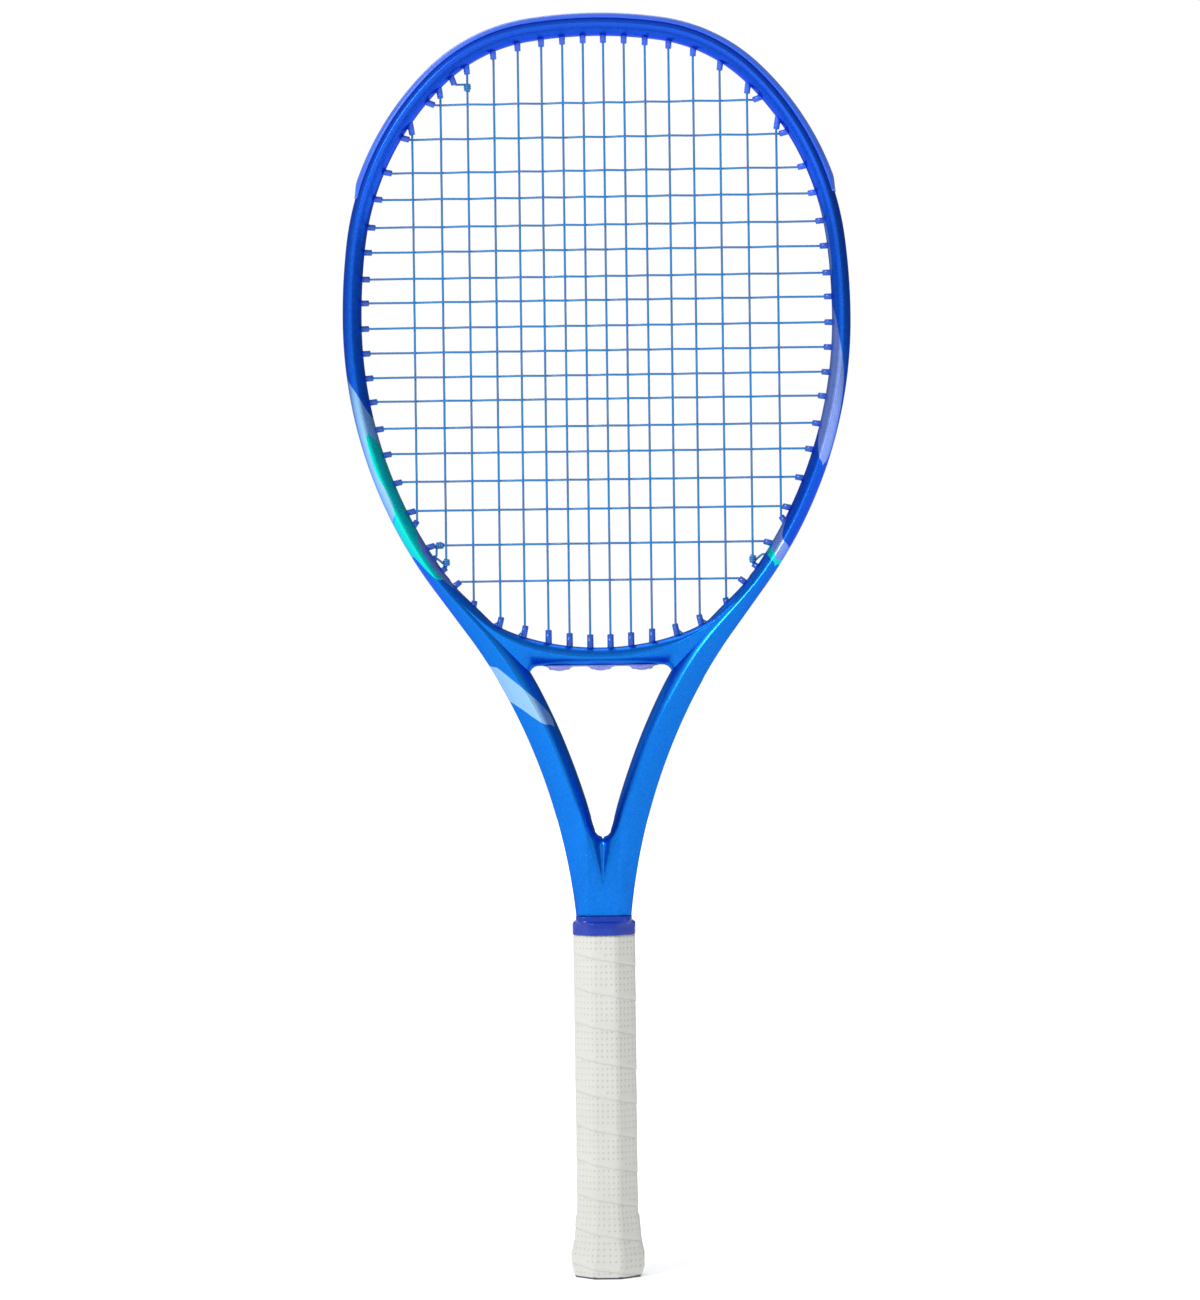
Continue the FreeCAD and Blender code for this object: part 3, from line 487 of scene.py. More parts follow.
def makeFrameMesh():
    points, uvs, faces = [], [], []
    end = findRun("z", tube["bottom"], 0.0, hoopEnd, outlineEnd)
    count = int(end / tube["step"])
    for side in (1, -1):
        first = len(points)
        for i in range(count + 1):
            run = end * i / count
            ring, edge, normal = frameRing(run)
            for p in ring:
                inset = (edge - Vector((p.x, 0, p.z))).dot(normal)
                points.append((side * p.x, p.y, p.z))
                uvs.append((side * (run + 0.01), inset))      # the tip too has a side
        size = len(ring)
        for quad in gridFaces(count + 1, size, True):
            face = [first + corner for corner in quad]
            if any(abs(points[corner][0]) > 0.001 for corner in face):      # none on the middle plane
                faces.append(face if side > 0 else face[::-1])
    shell = cleanMesh(newMesh("frame_shell", points, faces, uvs), 0.02, fill=True)
    return joinMeshes("frame_shell", [shell] + [makeLeg(side) for side in (-1, 1)])


legs = {
    "x": 7.0,
    "halfWidth": 6.7,
    "halfDepth": 9.5,
    "top": 189.0,
    "end": 32.0,
    "inside": 39.5,           # height of the plug that shows in the leg's open end
    "turns": 28,
}


def makeLeg(side):
    points, turns, top, end = [], legs["turns"], legs["top"], legs["end"]
    rows = [(0.0, top), (1.0, top), (1.0, 100.0), (1.0, end + 0.3), (0.97, end), (0.83, end),
            (0.8, end + 0.3), (0.8, legs["inside"]), (0.0, legs["inside"])]
    for share, z in rows:
        for i in range(turns):
            angle = 2 * math.pi * i / turns
            points.append((side * legs["x"] + share * legs["halfWidth"] * math.cos(angle),
                           share * legs["halfDepth"] * math.sin(angle), z))
    return cleanMesh(newMesh("leg", points, gridFaces(len(rows), turns, True), [(0.0, 0.0)] * len(points)))


print("stage: frame")
framePaint = makePaint("frame_paint")
addPiece("frame_shell", makeFrameMesh(), framePaint, stands=("frame",))


# throat bridge

bridge = {
    "top": 340.7,
    "radius": 138.0,
    "bottom": 331.0,
    "crestReach": 90.0,       # how far out each line runs, inside the tube at its end
    "upperReach": 84.5,
    "lowerReach": 86.0,
    "lowerRun": 70.0,         # the lower line's steps are measured along this run
    "crest": [(0.0, 335.6), (20.0, 336.9), (40.0, 341.6), (58.0, 351.2), (71.0, 362.0), (82.0, 372.6),
              (90.0, 383.5)],
    "upper": [(0.0, 340.7), (20.0, 342.15), (38.0, 346.0), (54.0, 352.2), (66.0, 360.3), (77.0, 371.6),
              (84.5, 381.5)],
    "buried": [(38.6, 326.0), (43.0, 326.6), (50.0, 331.6), (60.0, 341.6), (70.0, 352.4), (80.0, 365.5),
               (86.0, 375.0)],
    "depths": [(0.0, 10.5), (30.0, 10.7), (52.0, 11.4), (68.0, 11.6), (76.0, 10.6), (90.0, 5.0)],
    "cornerX": 33.6,
    "corner": 5.0,
    "steps": 64,
}


def bridgeSurface(x):
    return bridge["top"] + bridge["radius"] - math.sqrt(bridge["radius"] ** 2 - x ** 2)


def bridgeRing(share):
    crestX, upperX = share * bridge["crestReach"], share * bridge["upperReach"]
    run = share * bridge["lowerRun"]
    crest = Vector((crestX, 0, through(bridge["crest"], crestX)))
    upper = Vector((upperX, 0, through(bridge["upper"], upperX)))
    straight, corner = bridge["cornerX"], bridge["corner"]
    start = straight + corner * math.pi / 2
    if run < straight:
        lower = Vector((run, 0, bridge["bottom"]))
    elif run < start:
        angle = (run - straight) / corner
        drop = corner * (1 - math.cos(angle))
        lower = Vector((straight + corner * math.sin(angle), 0, bridge["bottom"] - drop))
    else:
        beyond = (run - start) / (bridge["lowerRun"] - start)
        x = straight + corner + (bridge["lowerReach"] - straight - corner) * beyond
        lower = Vector((x, 0, through(bridge["buried"], x)))
    depth = through(bridge["depths"], crestX)
    front = [(upper.lerp(crest, 1 - a), -depth * u) for a, u in reversed(quarter(8))]
    front += [(crest.lerp(lower, a), -depth * u) for a, u in quarter(12)[1:]]
    ring = [Vector((p.x, y, p.z)) for p, y in front]
    return ring + [Vector((p.x, -p.y, p.z)) for p in reversed(ring[1:-1])]


def makeBridgeMesh():
    points, rows = [], []
    steps = bridge["steps"]
    for i in range(-steps, steps + 1):
        ring = bridgeRing(abs(i) / steps)
        sign = -1 if i < 0 else 1
        points += [(sign * p.x, p.y, p.z) for p in ring]
        rows.append(len(ring))
    faces = gridFaces(len(rows), rows[0], True)
    return cleanMesh(newMesh("throat_yoke", points, faces), 0.004, fill=True)


print("stage: bridge")
plainPaint = makePaint("bridge_paint", patterned=False)
addPiece("throat_yoke", makeBridgeMesh(), plainPaint, stands=("throat_bridge",))


# string holes

strings = {
    "mains": [5.5, 16.7, 28.1, 40.9, 54.1, 68.5, 83.2, 98.8],
    "crosses": [636.4, 617.8, 599.6, 585.3, 570.2, 556.7, 542.2, 529.3, 515.4,
                502.0, 488.6, 475.7, 461.0, 447.2, 431.9, 416.1, 397.2, 377.3],
    "radius": 0.625,
    "inset": 1.05,            # middle of a string in the groove, in from the outer edge
    "shift": 0.8,             # mains lie in front of the groove's middle, crosses behind it
    "tip": 4.0,
    "footTip": 2.4,
    "bridgeTip": 7.0,
    "tieTip": 1.0,
    "bridgeMains": 3,         # on each side, these end in the bridge
    "armHoles": [333.5, 347.0],       # and the next two run on through it into the arms
    "squareFrom": 12.0,       # lower barrels stand square to the tube
    "mainWave": 0.42,
    "crossWave": 0.98,
    "tieHeight": 390.5,
    "startX": 75.6,
    "loopHeight": 329.3,
    "tieMain": 6,             # the tie-off knots hang on these strings
    "startMain": 5,
    "endCross": 16,
    "bend": 1.6,
    "waveSteps": 6,
}
upward, rightward = Vector((0, 0, 1)), Vector((1, 0, 0))


def tubeHole(axis, value, pull, low, high, shift, tip):
    reach = outline["tubeWidth"] + tip
    run = findRun(axis, value, reach, low, high)
    mouth, normal = edgeAt(run, reach)
    aim = normal if run > hoopEnd - strings["squareFrom"] else (pull + normal).normalized()
    out = mouth + aim * ((reach - strings["inset"]) / aim.dot(normal))
    out.y = shift
    return mouth, out


def armHole(mouth, height, shift):
    run = findRun("z", height, strings["inset"], hoopEnd, outlineEnd)
    out = edgeAt(run, strings["inset"])[0]
    out.y = shift
    return mouth, out


def tieHole(shift):
    reach = outline["tubeWidth"] + strings["tieTip"]
    mouth, normal = edgeAt(findRun("z", strings["tieHeight"], reach, widestRun, outlineEnd), reach)
    aim = (rightward + normal).normalized()
    out = mouth + aim * ((reach - strings["inset"]) / aim.dot(normal))
    return Vector((mouth.x, shift, mouth.z)), Vector((out.x, shift, out.z))


def flipped(hole):
    return tuple(Vector((-p.x, p.y, p.z)) for p in hole)


frontY, backY = -strings["shift"], strings["shift"]
bridgeMains, tip = strings["bridgeMains"], strings["tip"]
mainTop = [tubeHole("x", x, upward, 0.0, widestRun, frontY, tip) for x in strings["mains"]]
mainFoot = []
for number, x in enumerate(strings["mains"]):
    inArms = number - bridgeMains
    if inArms < 0:
        mouth = Vector((x, 0, bridgeSurface(x) + strings["bridgeTip"]))
        mainFoot.append((mouth, Vector((x, 0, strings["loopHeight"]))))
    elif inArms < len(strings["armHoles"]):
        mouth = Vector((x, 0, bridgeSurface(x) + tip))
        mainFoot.append(armHole(mouth, strings["armHoles"][inArms], frontY))
    else:
        mainFoot.append(tubeHole("x", x, -upward, widestRun, outlineEnd, frontY, strings["footTip"]))
crossEnd = [tubeHole("z", z, rightward, 0.0, outlineEnd, backY, tip) for z in strings["crosses"]]
mainTie, crossFinish = tieHole(frontY), tieHole(backY)
crossStart = tubeHole("x", strings["startX"], upward, 0.0, widestRun, backY, tip)


# geometry nodes: barrels along a strip, and tubes along a path

barrels = {
    "root": 1.74,             # radius at the tube, then at the mouth
    "tip": 1.66,
    "lip": 0.28,
    "lipShare": 0.72,
    "sides": 20,
    "sunk": 0.25,
    "topLean": 0.65,          # how far a barrel turns to its string's line
    "topFrom": 500.0,
    "footLean": 0.78,
    "footFrom": 372.0,
    "footRise": 2.2,
    "bridgeRise": -1.6,
}


def wire(tree, *pairs):
    for output, socket in pairs:
        tree.links.new(output, socket)


def makeTree(name, inputs):
    tree = bpy.data.node_groups.new(name, "GeometryNodeTree")
    tree.interface.new_socket("Geometry", in_out="INPUT", socket_type="NodeSocketGeometry")
    for label, kind, value in inputs:
        socket = tree.interface.new_socket(label, in_out="INPUT", socket_type=kind)
        if value is not None:
            socket.default_value = value
    tree.interface.new_socket("Geometry", in_out="OUTPUT", socket_type="NodeSocketGeometry")
    start, end = tree.nodes.new("NodeGroupInput"), tree.nodes.new("NodeGroupOutput")
    return tree, start, end


def finishTree(tree, start, end, output):
    kinds = ("GeometryNodeRealizeInstances", "GeometryNodeSetShadeSmooth", "GeometryNodeSetMaterial")
    realize, smooth, coat = [tree.nodes.new(kind) for kind in kinds]
    wire(tree, (output, realize.inputs[0]), (realize.outputs[0], smooth.inputs[0]),
         (smooth.outputs[0], coat.inputs[0]), (start.outputs["Material"], coat.inputs["Material"]),
         (coat.outputs[0], end.inputs[0]))
    return tree


def barrelTree():
    tree, start, end = makeTree("grommet_barrels", [
        ("Root radius", "NodeSocketFloat", barrels["root"] * mm),
        ("Tip radius", "NodeSocketFloat", barrels["tip"] * mm),
        ("Length", "NodeSocketFloat", 9.0 * mm), ("Lip", "NodeSocketFloat", barrels["lip"] * mm),
        ("Sides", "NodeSocketInt", barrels["sides"]), ("Material", "NodeSocketMaterial", None)])
    new, given = tree.nodes.new, start.outputs
    body, lip, narrow = new("GeometryNodeMeshCone"), new("GeometryNodeMeshCone"), new("ShaderNodeMath")
    body.inputs["Side Segments"].default_value = 3
    narrow.operation = "MULTIPLY"
    narrow.inputs[1].default_value = barrels["lipShare"]
    height, raised = new("ShaderNodeCombineXYZ"), new("GeometryNodeTransform")
    join, spread = new("GeometryNodeJoinGeometry"), new("GeometryNodeInstanceOnPoints")
    aim, turn = new("GeometryNodeInputNamedAttribute"), new("FunctionNodeAlignRotationToVector")
    aim.data_type = "FLOAT_VECTOR"
    aim.inputs["Name"].default_value = "aim"
    turn.axis = "Z"
    wire(tree, (given["Sides"], body.inputs["Vertices"]), (given["Sides"], lip.inputs["Vertices"]),
         (given["Tip radius"], body.inputs["Radius Top"]),
         (given["Root radius"], body.inputs["Radius Bottom"]), (given["Length"], body.inputs["Depth"]),
         (given["Tip radius"], narrow.inputs[0]), (narrow.outputs[0], lip.inputs["Radius Top"]),
         (given["Tip radius"], lip.inputs["Radius Bottom"]), (given["Lip"], lip.inputs["Depth"]),
         (given["Length"], height.inputs[2]), (height.outputs[0], raised.inputs["Translation"]),
         (lip.outputs[0], raised.inputs[0]), (body.outputs[0], join.inputs[0]),
         (raised.outputs[0], join.inputs[0]), (aim.outputs[0], turn.inputs["Vector"]),
         (given["Geometry"], spread.inputs["Points"]), (join.outputs[0], spread.inputs["Instance"]),
         (turn.outputs[0], spread.inputs["Rotation"]))
    return finishTree(tree, start, end, spread.outputs[0])


def cordTree():
    tree, start, end = makeTree("string_along_path", [
        ("Radius", "NodeSocketFloat", strings["radius"] * mm), ("Sides", "NodeSocketInt", 10),
        ("Material", "NodeSocketMaterial", None)])
    path, sweep = tree.nodes.new("GeometryNodeMeshToCurve"), tree.nodes.new("GeometryNodeCurveToMesh")
    ring = tree.nodes.new("GeometryNodeCurvePrimitiveCircle")
    sweep.inputs["Fill Caps"].default_value = True
    wire(tree, (start.outputs["Geometry"], path.inputs[0]), (start.outputs["Radius"], ring.inputs["Radius"]),
         (start.outputs["Sides"], ring.inputs["Resolution"]), (path.outputs[0], sweep.inputs["Curve"]),
         (ring.outputs[0], sweep.inputs["Profile Curve"]))
    return finishTree(tree, start, end, sweep.outputs[0])


def grown(mesh, tree, settings):
    carrier = addObject(mesh.name + "_carrier", mesh)
    modifier = carrier.modifiers.new("nodes", "NODES")
    modifier.node_group = tree
    for socket in tree.interface.items_tree:
        if socket.item_type == "SOCKET" and socket.in_out == "INPUT" and socket.name in settings:
            modifier[socket.identifier] = settings[socket.name]
    graph = bpy.context.evaluated_depsgraph_get()
    result = bpy.data.meshes.new_from_object(carrier.evaluated_get(graph))
    bpy.data.objects.remove(carrier)
    return result


barrelNodes, cordNodes = barrelTree(), cordTree()


def leaned(hole):
    # a barrel stands between its hole's line and its string's line
    mouth, out = hole
    aim = (mouth - out).normalized()
    isMain = out.y < 0 and abs(out.z - strings["tieHeight"]) > 0.1
    if isMain and mouth.z > barrels["topFrom"]:
        aim = aim.lerp(-upward, barrels["topLean"])
    elif isMain and mouth.z < barrels["footFrom"]:
        aim = aim.lerp(upward, barrels["footLean"]).normalized()
        inBridge = abs(mouth.x) < strings["mains"][bridgeMains - 1] + 1
        mouth = mouth + aim * (barrels["bridgeRise"] if inBridge else barrels["footRise"])
    return mouth, aim.normalized()


def barrelMesh(name, holes, material, length, root=barrels["root"], tip=barrels["tip"]):
    rows = [(mouth - aim * (length + barrels["sunk"]), aim) for mouth, aim in map(leaned, holes)]
    mesh = newMesh(name, [p for p, aim in rows], [])
    attribute = mesh.attributes.new("aim", "FLOAT_VECTOR", "POINT")
    for i, (p, aim) in enumerate(rows):
        attribute.data[i].vector = aim
    return grown(mesh, barrelNodes, {"Root radius": root * mm, "Tip radius": tip * mm, "Length": length * mm,
                                     "Lip": barrels["lip"] * mm, "Material": material})


def cordMesh(name, points, material, radius):
    mesh = bpy.data.meshes.new(name)
    mesh.from_pydata([Vector(p) * mm for p in points], [(i, i + 1) for i in range(len(points) - 1)], [])
    return grown(mesh, cordNodes, {"Radius": radius * mm, "Material": material})


# bumper guard and grommet strips

def tonedMaterial(name, tones, toneNoise, rough, roughNoise, relief, **sockets):
    # two colours and two roughnesses, each pair spread by a noise, and a fine relief
    m = Nodes(name)
    place = m.place()
    base = m.mix(m.noise(place, *toneNoise), *tones)
    roughness = m.spread(m.noise(place, *roughNoise), 0.3, 0.7, *rough)
    scale, detail, strength, depth = relief
    return m.finish(base, roughness, m.bump(m.noise(place, scale, detail), strength, depth), **sockets)


def plasticMaterial(name, base, shade, roughness, grain, seeThrough=0.0):
    return tonedMaterial(name, (base, shade), (55.0, 4.0), (roughness - 0.05, roughness + 0.07),
                         (900.0, 2.0), (1500.0, 2.0, grain, 0.12), Subsurface_Weight=seeThrough,
                         Subsurface_Radius=(0.003, 0.004, 0.006), Coat_Weight=0.25, Coat_Roughness=0.2,
                         Specular_IOR_Level=0.5)


print("stage: guard and grommets")
guardPlastic = plasticMaterial("guard_nylon", colour(16, 72, 196), colour(36, 104, 222), 0.38, 0.10)
grommetPlastic = plasticMaterial("grommet_nylon", colour(0, 60, 158), colour(2, 92, 198), 0.28, 0.05, 0.12)
clearPlastic = plasticMaterial("bridge_grommet_nylon", colour(104, 108, 196), colour(150, 156, 222), 0.24,
                               0.05, 0.3)

guard = {
    "thickness": 1.93,
    "rim": 0.45,              # thickness at its edges
    "slope": 0.28,
    "end": 586.0,             # height of its ends
    "half": 9.2,
    "skinFoot": 3.2,          # it lies on the tube from here out to its edge
    "channelHalf": 1.9,
    "channelFloor": 1.75,
    "taper": 9.0,
    "barrel": 9.5,
    "steps": 110,
}
sideStrips = {
    "half": 2.55,
    "end": 328.0,
    "barrel": 8.6,
    "steps": 150,
}


def sweptBand(name, section, low, high, count, twoSided):
    points, rows = [], 0
    for i in range(-count if twoSided else 0, count + 1):
        run = low + (high - low) * abs(i) / count
        edge, normal = edgeAt(run)
        sign = -1 if i < 0 else 1
        ring = section(run)
        for outward, y in ring:
            p = edge + normal * outward
            points.append((sign * p.x, y, p.z))
        rows += 1
    return cleanMesh(newMesh(name, points, gridFaces(rows, len(ring), True)), 0.003, fill=True)


guardRunEnd = findRun("z", guard["end"], 0.0, 0.0, outlineEnd)


def guardSection(run):
    near = blendShare(guardRunEnd - run, 0.0, guard["taper"])
    thick = guard["rim"] + (guard["thickness"] - guard["rim"]) * near
    crestInset = tube["crestInset"][-1][1]
    skin = []
    for across, up in quarter(24):
        inset, y = crestInset * (1 - across), tube["halfDepths"][-1][1] * up
        if guard["skinFoot"] < y < guard["half"]:
            skin.append((inset, y))
    outer = [(-skin[0][0] + 0.1, -skin[0][1] - 0.25)]
    for inset, y in skin:
        share = blendShare(guard["half"] + 0.3 - y, 0.0, 3.6)
        lift = thick * (guard["rim"] + (1 - guard["rim"]) * share)
        slope = guard["slope"] * (1 - blendShare(guard["half"] - y, 0.0, 6.0))
        outer.append((-inset + lift, -y - lift * slope))
    floor, half = guard["channelFloor"], guard["channelHalf"]
    outer += [(thick, -half - 0.5), (thick - 0.18, -half - 0.1), (thick - 0.6, -half),
              (-floor + 0.3, -half + 0.05), (-floor, -half + 0.4)]
    inner = [(-2.5, -2.7), (-0.4, -2.75)] + [(-inset - 0.05, -y) for inset, y in reversed(skin)]
    ring = outer + [(o, -y) for o, y in reversed(outer)]
    return ring + [(o, -y) for o, y in reversed(inner)] + inner


def stripSection(run):
    half = sideStrips["half"]
    ring = [(-2.55, -half), (-1.5, -half), (-1.2, 0.15 - half), (-1.25, 0.45 - half), (-1.75, 0.7 - half)]
    return ring + [(o, -y) for o, y in reversed(ring)]


allHoles = mainTop + mainFoot[bridgeMains:] + crossEnd + [mainTie]
leftHoles = [flipped(hole) for hole in allHoles + [crossStart, crossFinish]]
guardHoles = [hole for hole in allHoles + leftHoles if hole[1].z > guard["end"]]
sideHoles = [hole for hole in allHoles + leftHoles if hole[1].z <= guard["end"]]
guardParts = [sweptBand("band", guardSection, 0.0, guardRunEnd, guard["steps"], True),
              barrelMesh("guard_barrels", guardHoles, guardPlastic, guard["barrel"])]
addPiece("bumper_band", joinMeshes("bumper_band", guardParts), guardPlastic,
         stands=("bumper_guard",))

stripRunEnd = findRun("z", sideStrips["end"], 0.0, 0.0, outlineEnd)
for side, label in ((-1, "left"), (1, "right")):
    holes = [hole for hole in sideHoles if hole[0].x * side > 0 and hole != mainTie]
    band = sweptBand("band", stripSection, guardRunEnd - 1.0, stripRunEnd, sideStrips["steps"], False)
    if side < 0:
        band.transform(Matrix.Scale(-1, 4, (1, 0, 0)))
        band.flip_normals()
    tubes = barrelMesh("barrels", holes, grommetPlastic, sideStrips["barrel"])
    addPiece("side_grommets_" + label, joinMeshes("side_grommets_" + label, [band, tubes]),
             grommetPlastic, stands=("grommet_strip_" + label,))


bridgeTray = {
    "past": 3.4,              # it runs on past its last barrels
    "halfDepth": 3.6,
    "thickness": 0.75,
    "domes": (-22.4, 0.0, 22.4),      # a dome over each string loop
    "domeHalf": 7.6,
    "domeDepth": 2.3,
    "barrel": 14.0,
    "barrelRoot": 1.82,
    "barrelTip": 1.74,
    "steps": 96,
    "around": 18,
}


def makeBridgeStrip():
    half, top = strings["mains"][bridgeMains - 1] + bridgeTray["past"], bridge["bottom"] + 0.1
    points, steps, around = [], bridgeTray["steps"], bridgeTray["around"]
    for i in range(steps + 1):
        x = half * (2 * i / steps - 1)
        end = max(0.02, 1 - abs(x / half) ** 14) ** 0.5
        drop = bridgeTray["thickness"]
        for middle in bridgeTray["domes"]:
            share = max(0.0, 1 - ((x - middle) / bridgeTray["domeHalf"]) ** 2)
            drop += bridgeTray["domeDepth"] * share ** 1.3
        for j in range(around):
            angle = 2 * math.pi * j / around
            y, z = math.cos(angle), math.sin(angle)
            y = math.copysign(abs(y) ** 0.55, y) * bridgeTray["halfDepth"] * end
            rise = 0.3 if z > 0 else drop * abs(z) ** 0.8
            points.append((x, y, top + rise * (z / max(1e-6, abs(z))) * end))
    tray = cleanMesh(newMesh("tray", points, gridFaces(steps + 1, around, True)), 0.003, fill=True)
    holes = mainFoot[:bridgeMains] + [flipped(hole) for hole in mainFoot[:bridgeMains]]
    return tray, barrelMesh("bridge_barrels", holes, clearPlastic, bridgeTray["barrel"],
                            bridgeTray["barrelRoot"], bridgeTray["barrelTip"])


tray, tubes = makeBridgeStrip()
bridgeStrip = addPiece("bridge_grommets", joinMeshes("bridge_grommets", [tray, tubes]), clearPlastic,
                       stands=("bridge_grommet_strip",))
bridgeStrip.data.materials.append(grommetPlastic)
for polygon in bridgeStrip.data.polygons:
    if polygon.center.z > (bridge["bottom"] + 0.2) * mm:
        polygon.material_index = 1


# strings

def bend(points, radius):
    path = [points[0]]
    for a, b, c in zip(points, points[1:], points[2:]):
        back, on = a - b, c - b
        if back.length < 1e-6 or on.length < 1e-6:
            continue
        if math.pi - back.angle(on) < 0.12:
            path.append(b)
            continue
        cut = min(radius, 0.45 * back.length, 0.45 * on.length)
        p, q = b + back.normalized() * cut, b + on.normalized() * cut
        for i in range(5):
            u = i / 4
            path.append(p * (1 - u) ** 2 + b * 2 * u * (1 - u) + q * u * u)
    return path + [points[-1]]


def waved(start, end, places, heights):
    points = []
    marks = [(0.0, start.y)] + list(zip(places, heights)) + [(1.0, end.y)]
    for (u0, y0), (u1, y1) in zip(marks, marks[1:]):
        for i in range(strings["waveSteps"]):
            u = i / strings["waveSteps"]
            ease = (1 - math.cos(math.pi * u)) / 2
            share = u0 + (u1 - u0) * u
            p = start.lerp(end, share)
            p.y = y0 + (y1 - y0) * ease
            points.append(p)
    return points + [end]


allMains = sorted([-m for m in strings["mains"]] + strings["mains"])


def overOrUnder(number, row):
    return 1 if (number + row) % 2 else -1


def mainRun(number, side):
    x = side * strings["mains"][number]
    place = allMains.index(x)
    foot, top = mainFoot[number][0].copy(), mainTop[number][0].copy()
    foot.x = top.x = x
    places, heights = [], []
    for row in reversed(range(len(strings["crosses"]))):
        z = strings["crosses"][row]
        if foot.z + 1 < z < top.z - 1:
            places.append((z - foot.z) / (top.z - foot.z))
            heights.append(-overOrUnder(place, row) * strings["mainWave"])
    return waved(foot, top, places, heights)


def crossRun(row):
    z = strings["crosses"][row]
    right = crossEnd[row][0].copy()
    left = Vector((-right.x, right.y, right.z))
    places, heights = [], []
    for number, x in enumerate(allMains):
        main = strings["mains"].index(abs(x))
        if abs(x) < right.x - 1 and mainFoot[main][0].z < z < mainTop[main][0].z:
            places.append((x - left.x) / (right.x - left.x))
            heights.append(overOrUnder(number, row) * strings["crossWave"])
    return waved(left, right, places, heights)


knot = {
    "turns": 3.2,
    "radius": 1.25,
    "rise": 1.15,             # along the string with each turn
    "bulge": 0.22,
    "steps": 14,
}


def knotTurns(centre, axis):
    other = Vector((0, 1, 0))
    third = axis.cross(other)
    points, steps, total = [], knot["steps"], knot["turns"] * knot["steps"]
    for i in range(int(total) + 1):
        angle = 2 * math.pi * i / steps
        fat = knot["radius"] * (1.0 + knot["bulge"] * math.sin(math.pi * i / total))
        points.append(centre + (other * math.cos(angle) + third * math.sin(angle)) * fat
                      + axis * (knot["rise"] * angle / (2 * math.pi)))
    return points


def mainPath():
    def half(side):
        flip = flipped if side < 0 else (lambda hole: hole)
        points = []
        for number in range(len(strings["mains"])):
            top, foot = flip(mainTop[number]), flip(mainFoot[number])
            line = mainRun(number, side)
            if number % 2 == 0:
                points += [foot[1]] + line + [top[1]]
            else:
                points += [top[1]] + line[::-1] + [foot[1]]
        tie, tieMain = flip(mainTie), strings["tieMain"]
        anchor = Vector((side * strings["mains"][tieMain], 0, mainFoot[tieMain][0].z + 0.9))
        turns = knotTurns(anchor, upward)
        return points + [tie[1], tie[0], turns[0]] + turns[1:]
    return half(-1)[::-1] + half(1)


def crossPath():
    anchor = Vector((-strings["mains"][strings["startMain"]], 0, crossStart[0].z + 0.2))
    start, finish = flipped(crossStart), flipped(crossFinish)
    points = knotTurns(anchor, -upward)[::-1] + [start[0], start[1]]
    low = findRun("x", -start[1].x, strings["inset"], 0.0, widestRun)
    high = findRun("z", crossEnd[0][1].z, strings["inset"], 0.0, widestRun)
    for share in (0.25, 0.5, 0.75):
        spot = edgeAt(low + (high - low) * share, strings["inset"], backY)[0]
        points.append(Vector((-spot.x, spot.y, spot.z)))
    for row in range(len(strings["crosses"])):
        line, end = crossRun(row), crossEnd[row]
        stretch = [flipped(end)[1]] + line + [end[1]]
        points += stretch if row % 2 == 0 else stretch[::-1]
    last = strings["endCross"]
    anchor = Vector((-crossEnd[last][0].x + 0.9, 0, strings["crosses"][last]))
    return points + [finish[1], finish[0]] + knotTurns(anchor, rightward)


print("stage: strings")
stringFinish = tonedMaterial("string_polyester", (colour(0, 96, 162), colour(2, 120, 186)), (70.0, 3.0),
                             (0.24, 0.34), (500.0, 2.0), (2400.0, 2.0, 0.08, 0.05),
                             Coat_Weight=0.4, Coat_Roughness=0.12, Specular_IOR_Level=0.55)
for label, path in (("main_strings", mainPath()), ("cross_strings", crossPath())):
    mesh = cordMesh(label, bend(path, strings["bend"]), stringFinish, strings["radius"])
    addPiece(label, mesh, stringFinish, stands=(label[:-1],))


# handle: grip tape, collar and cap

handle = {
    "profile": [(0.0, 17.6, 16.0), (1.3, 18.4, 16.8), (5.0, 19.7, 18.1), (12.0, 20.0, 18.4),
                (17.0, 19.0, 17.4), (20.0, 18.2, 16.6), (31.2, 17.5, 15.9), (34.0, 16.7, 15.2),
                (60.0, 16.6, 15.1), (184.2, 17.0, 15.4), (185.6, 16.2, 14.7), (192.0, 15.8, 14.4)],
    "facet": 0.4,
    "facetDepth": 0.39,
    "corner": 1.9,            # softening of the octagon's corners
    "low": 0.7,
    "high": 188.6,
    "pitch": 18.6,            # height of one turn of the tape
    "seamStart": 4.5,         # a seam's height at the middle of the front
    "rowHeight": 3.24,
    "blankBand": 3.1,         # smooth edge of the tape above each seam
    "dimples": 38,            # dimples round the handle
    "cells": (0.0, 0.3, 0.5, 0.7),    # points across one dimple's cell
    "dimpleDepth": 0.5,
    "seamDepth": 0.34,
    "overlap": 0.16,          # the tape stands up where it laps the turn below
    "overlapFall": 0.26,
    "turnIn": 1.6,            # the cut ends of the tape turn in to the pallet
    "around": 106.0,          # its run round the handle
}


def handleSize(z):
    rows = handle["profile"]
    for (z0, w0, d0), (z1, w1, d1) in zip(rows, rows[1:]):
        if z0 <= z <= z1:
            u = (z - z0) / (z1 - z0)
            u = u * 0.6 + 0.4 * u * u * (3 - 2 * u)
            return w0 + (w1 - w0) * u, d0 + (d1 - d0) * u
    return rows[-1][1:] if z > rows[-1][0] else rows[0][1:]


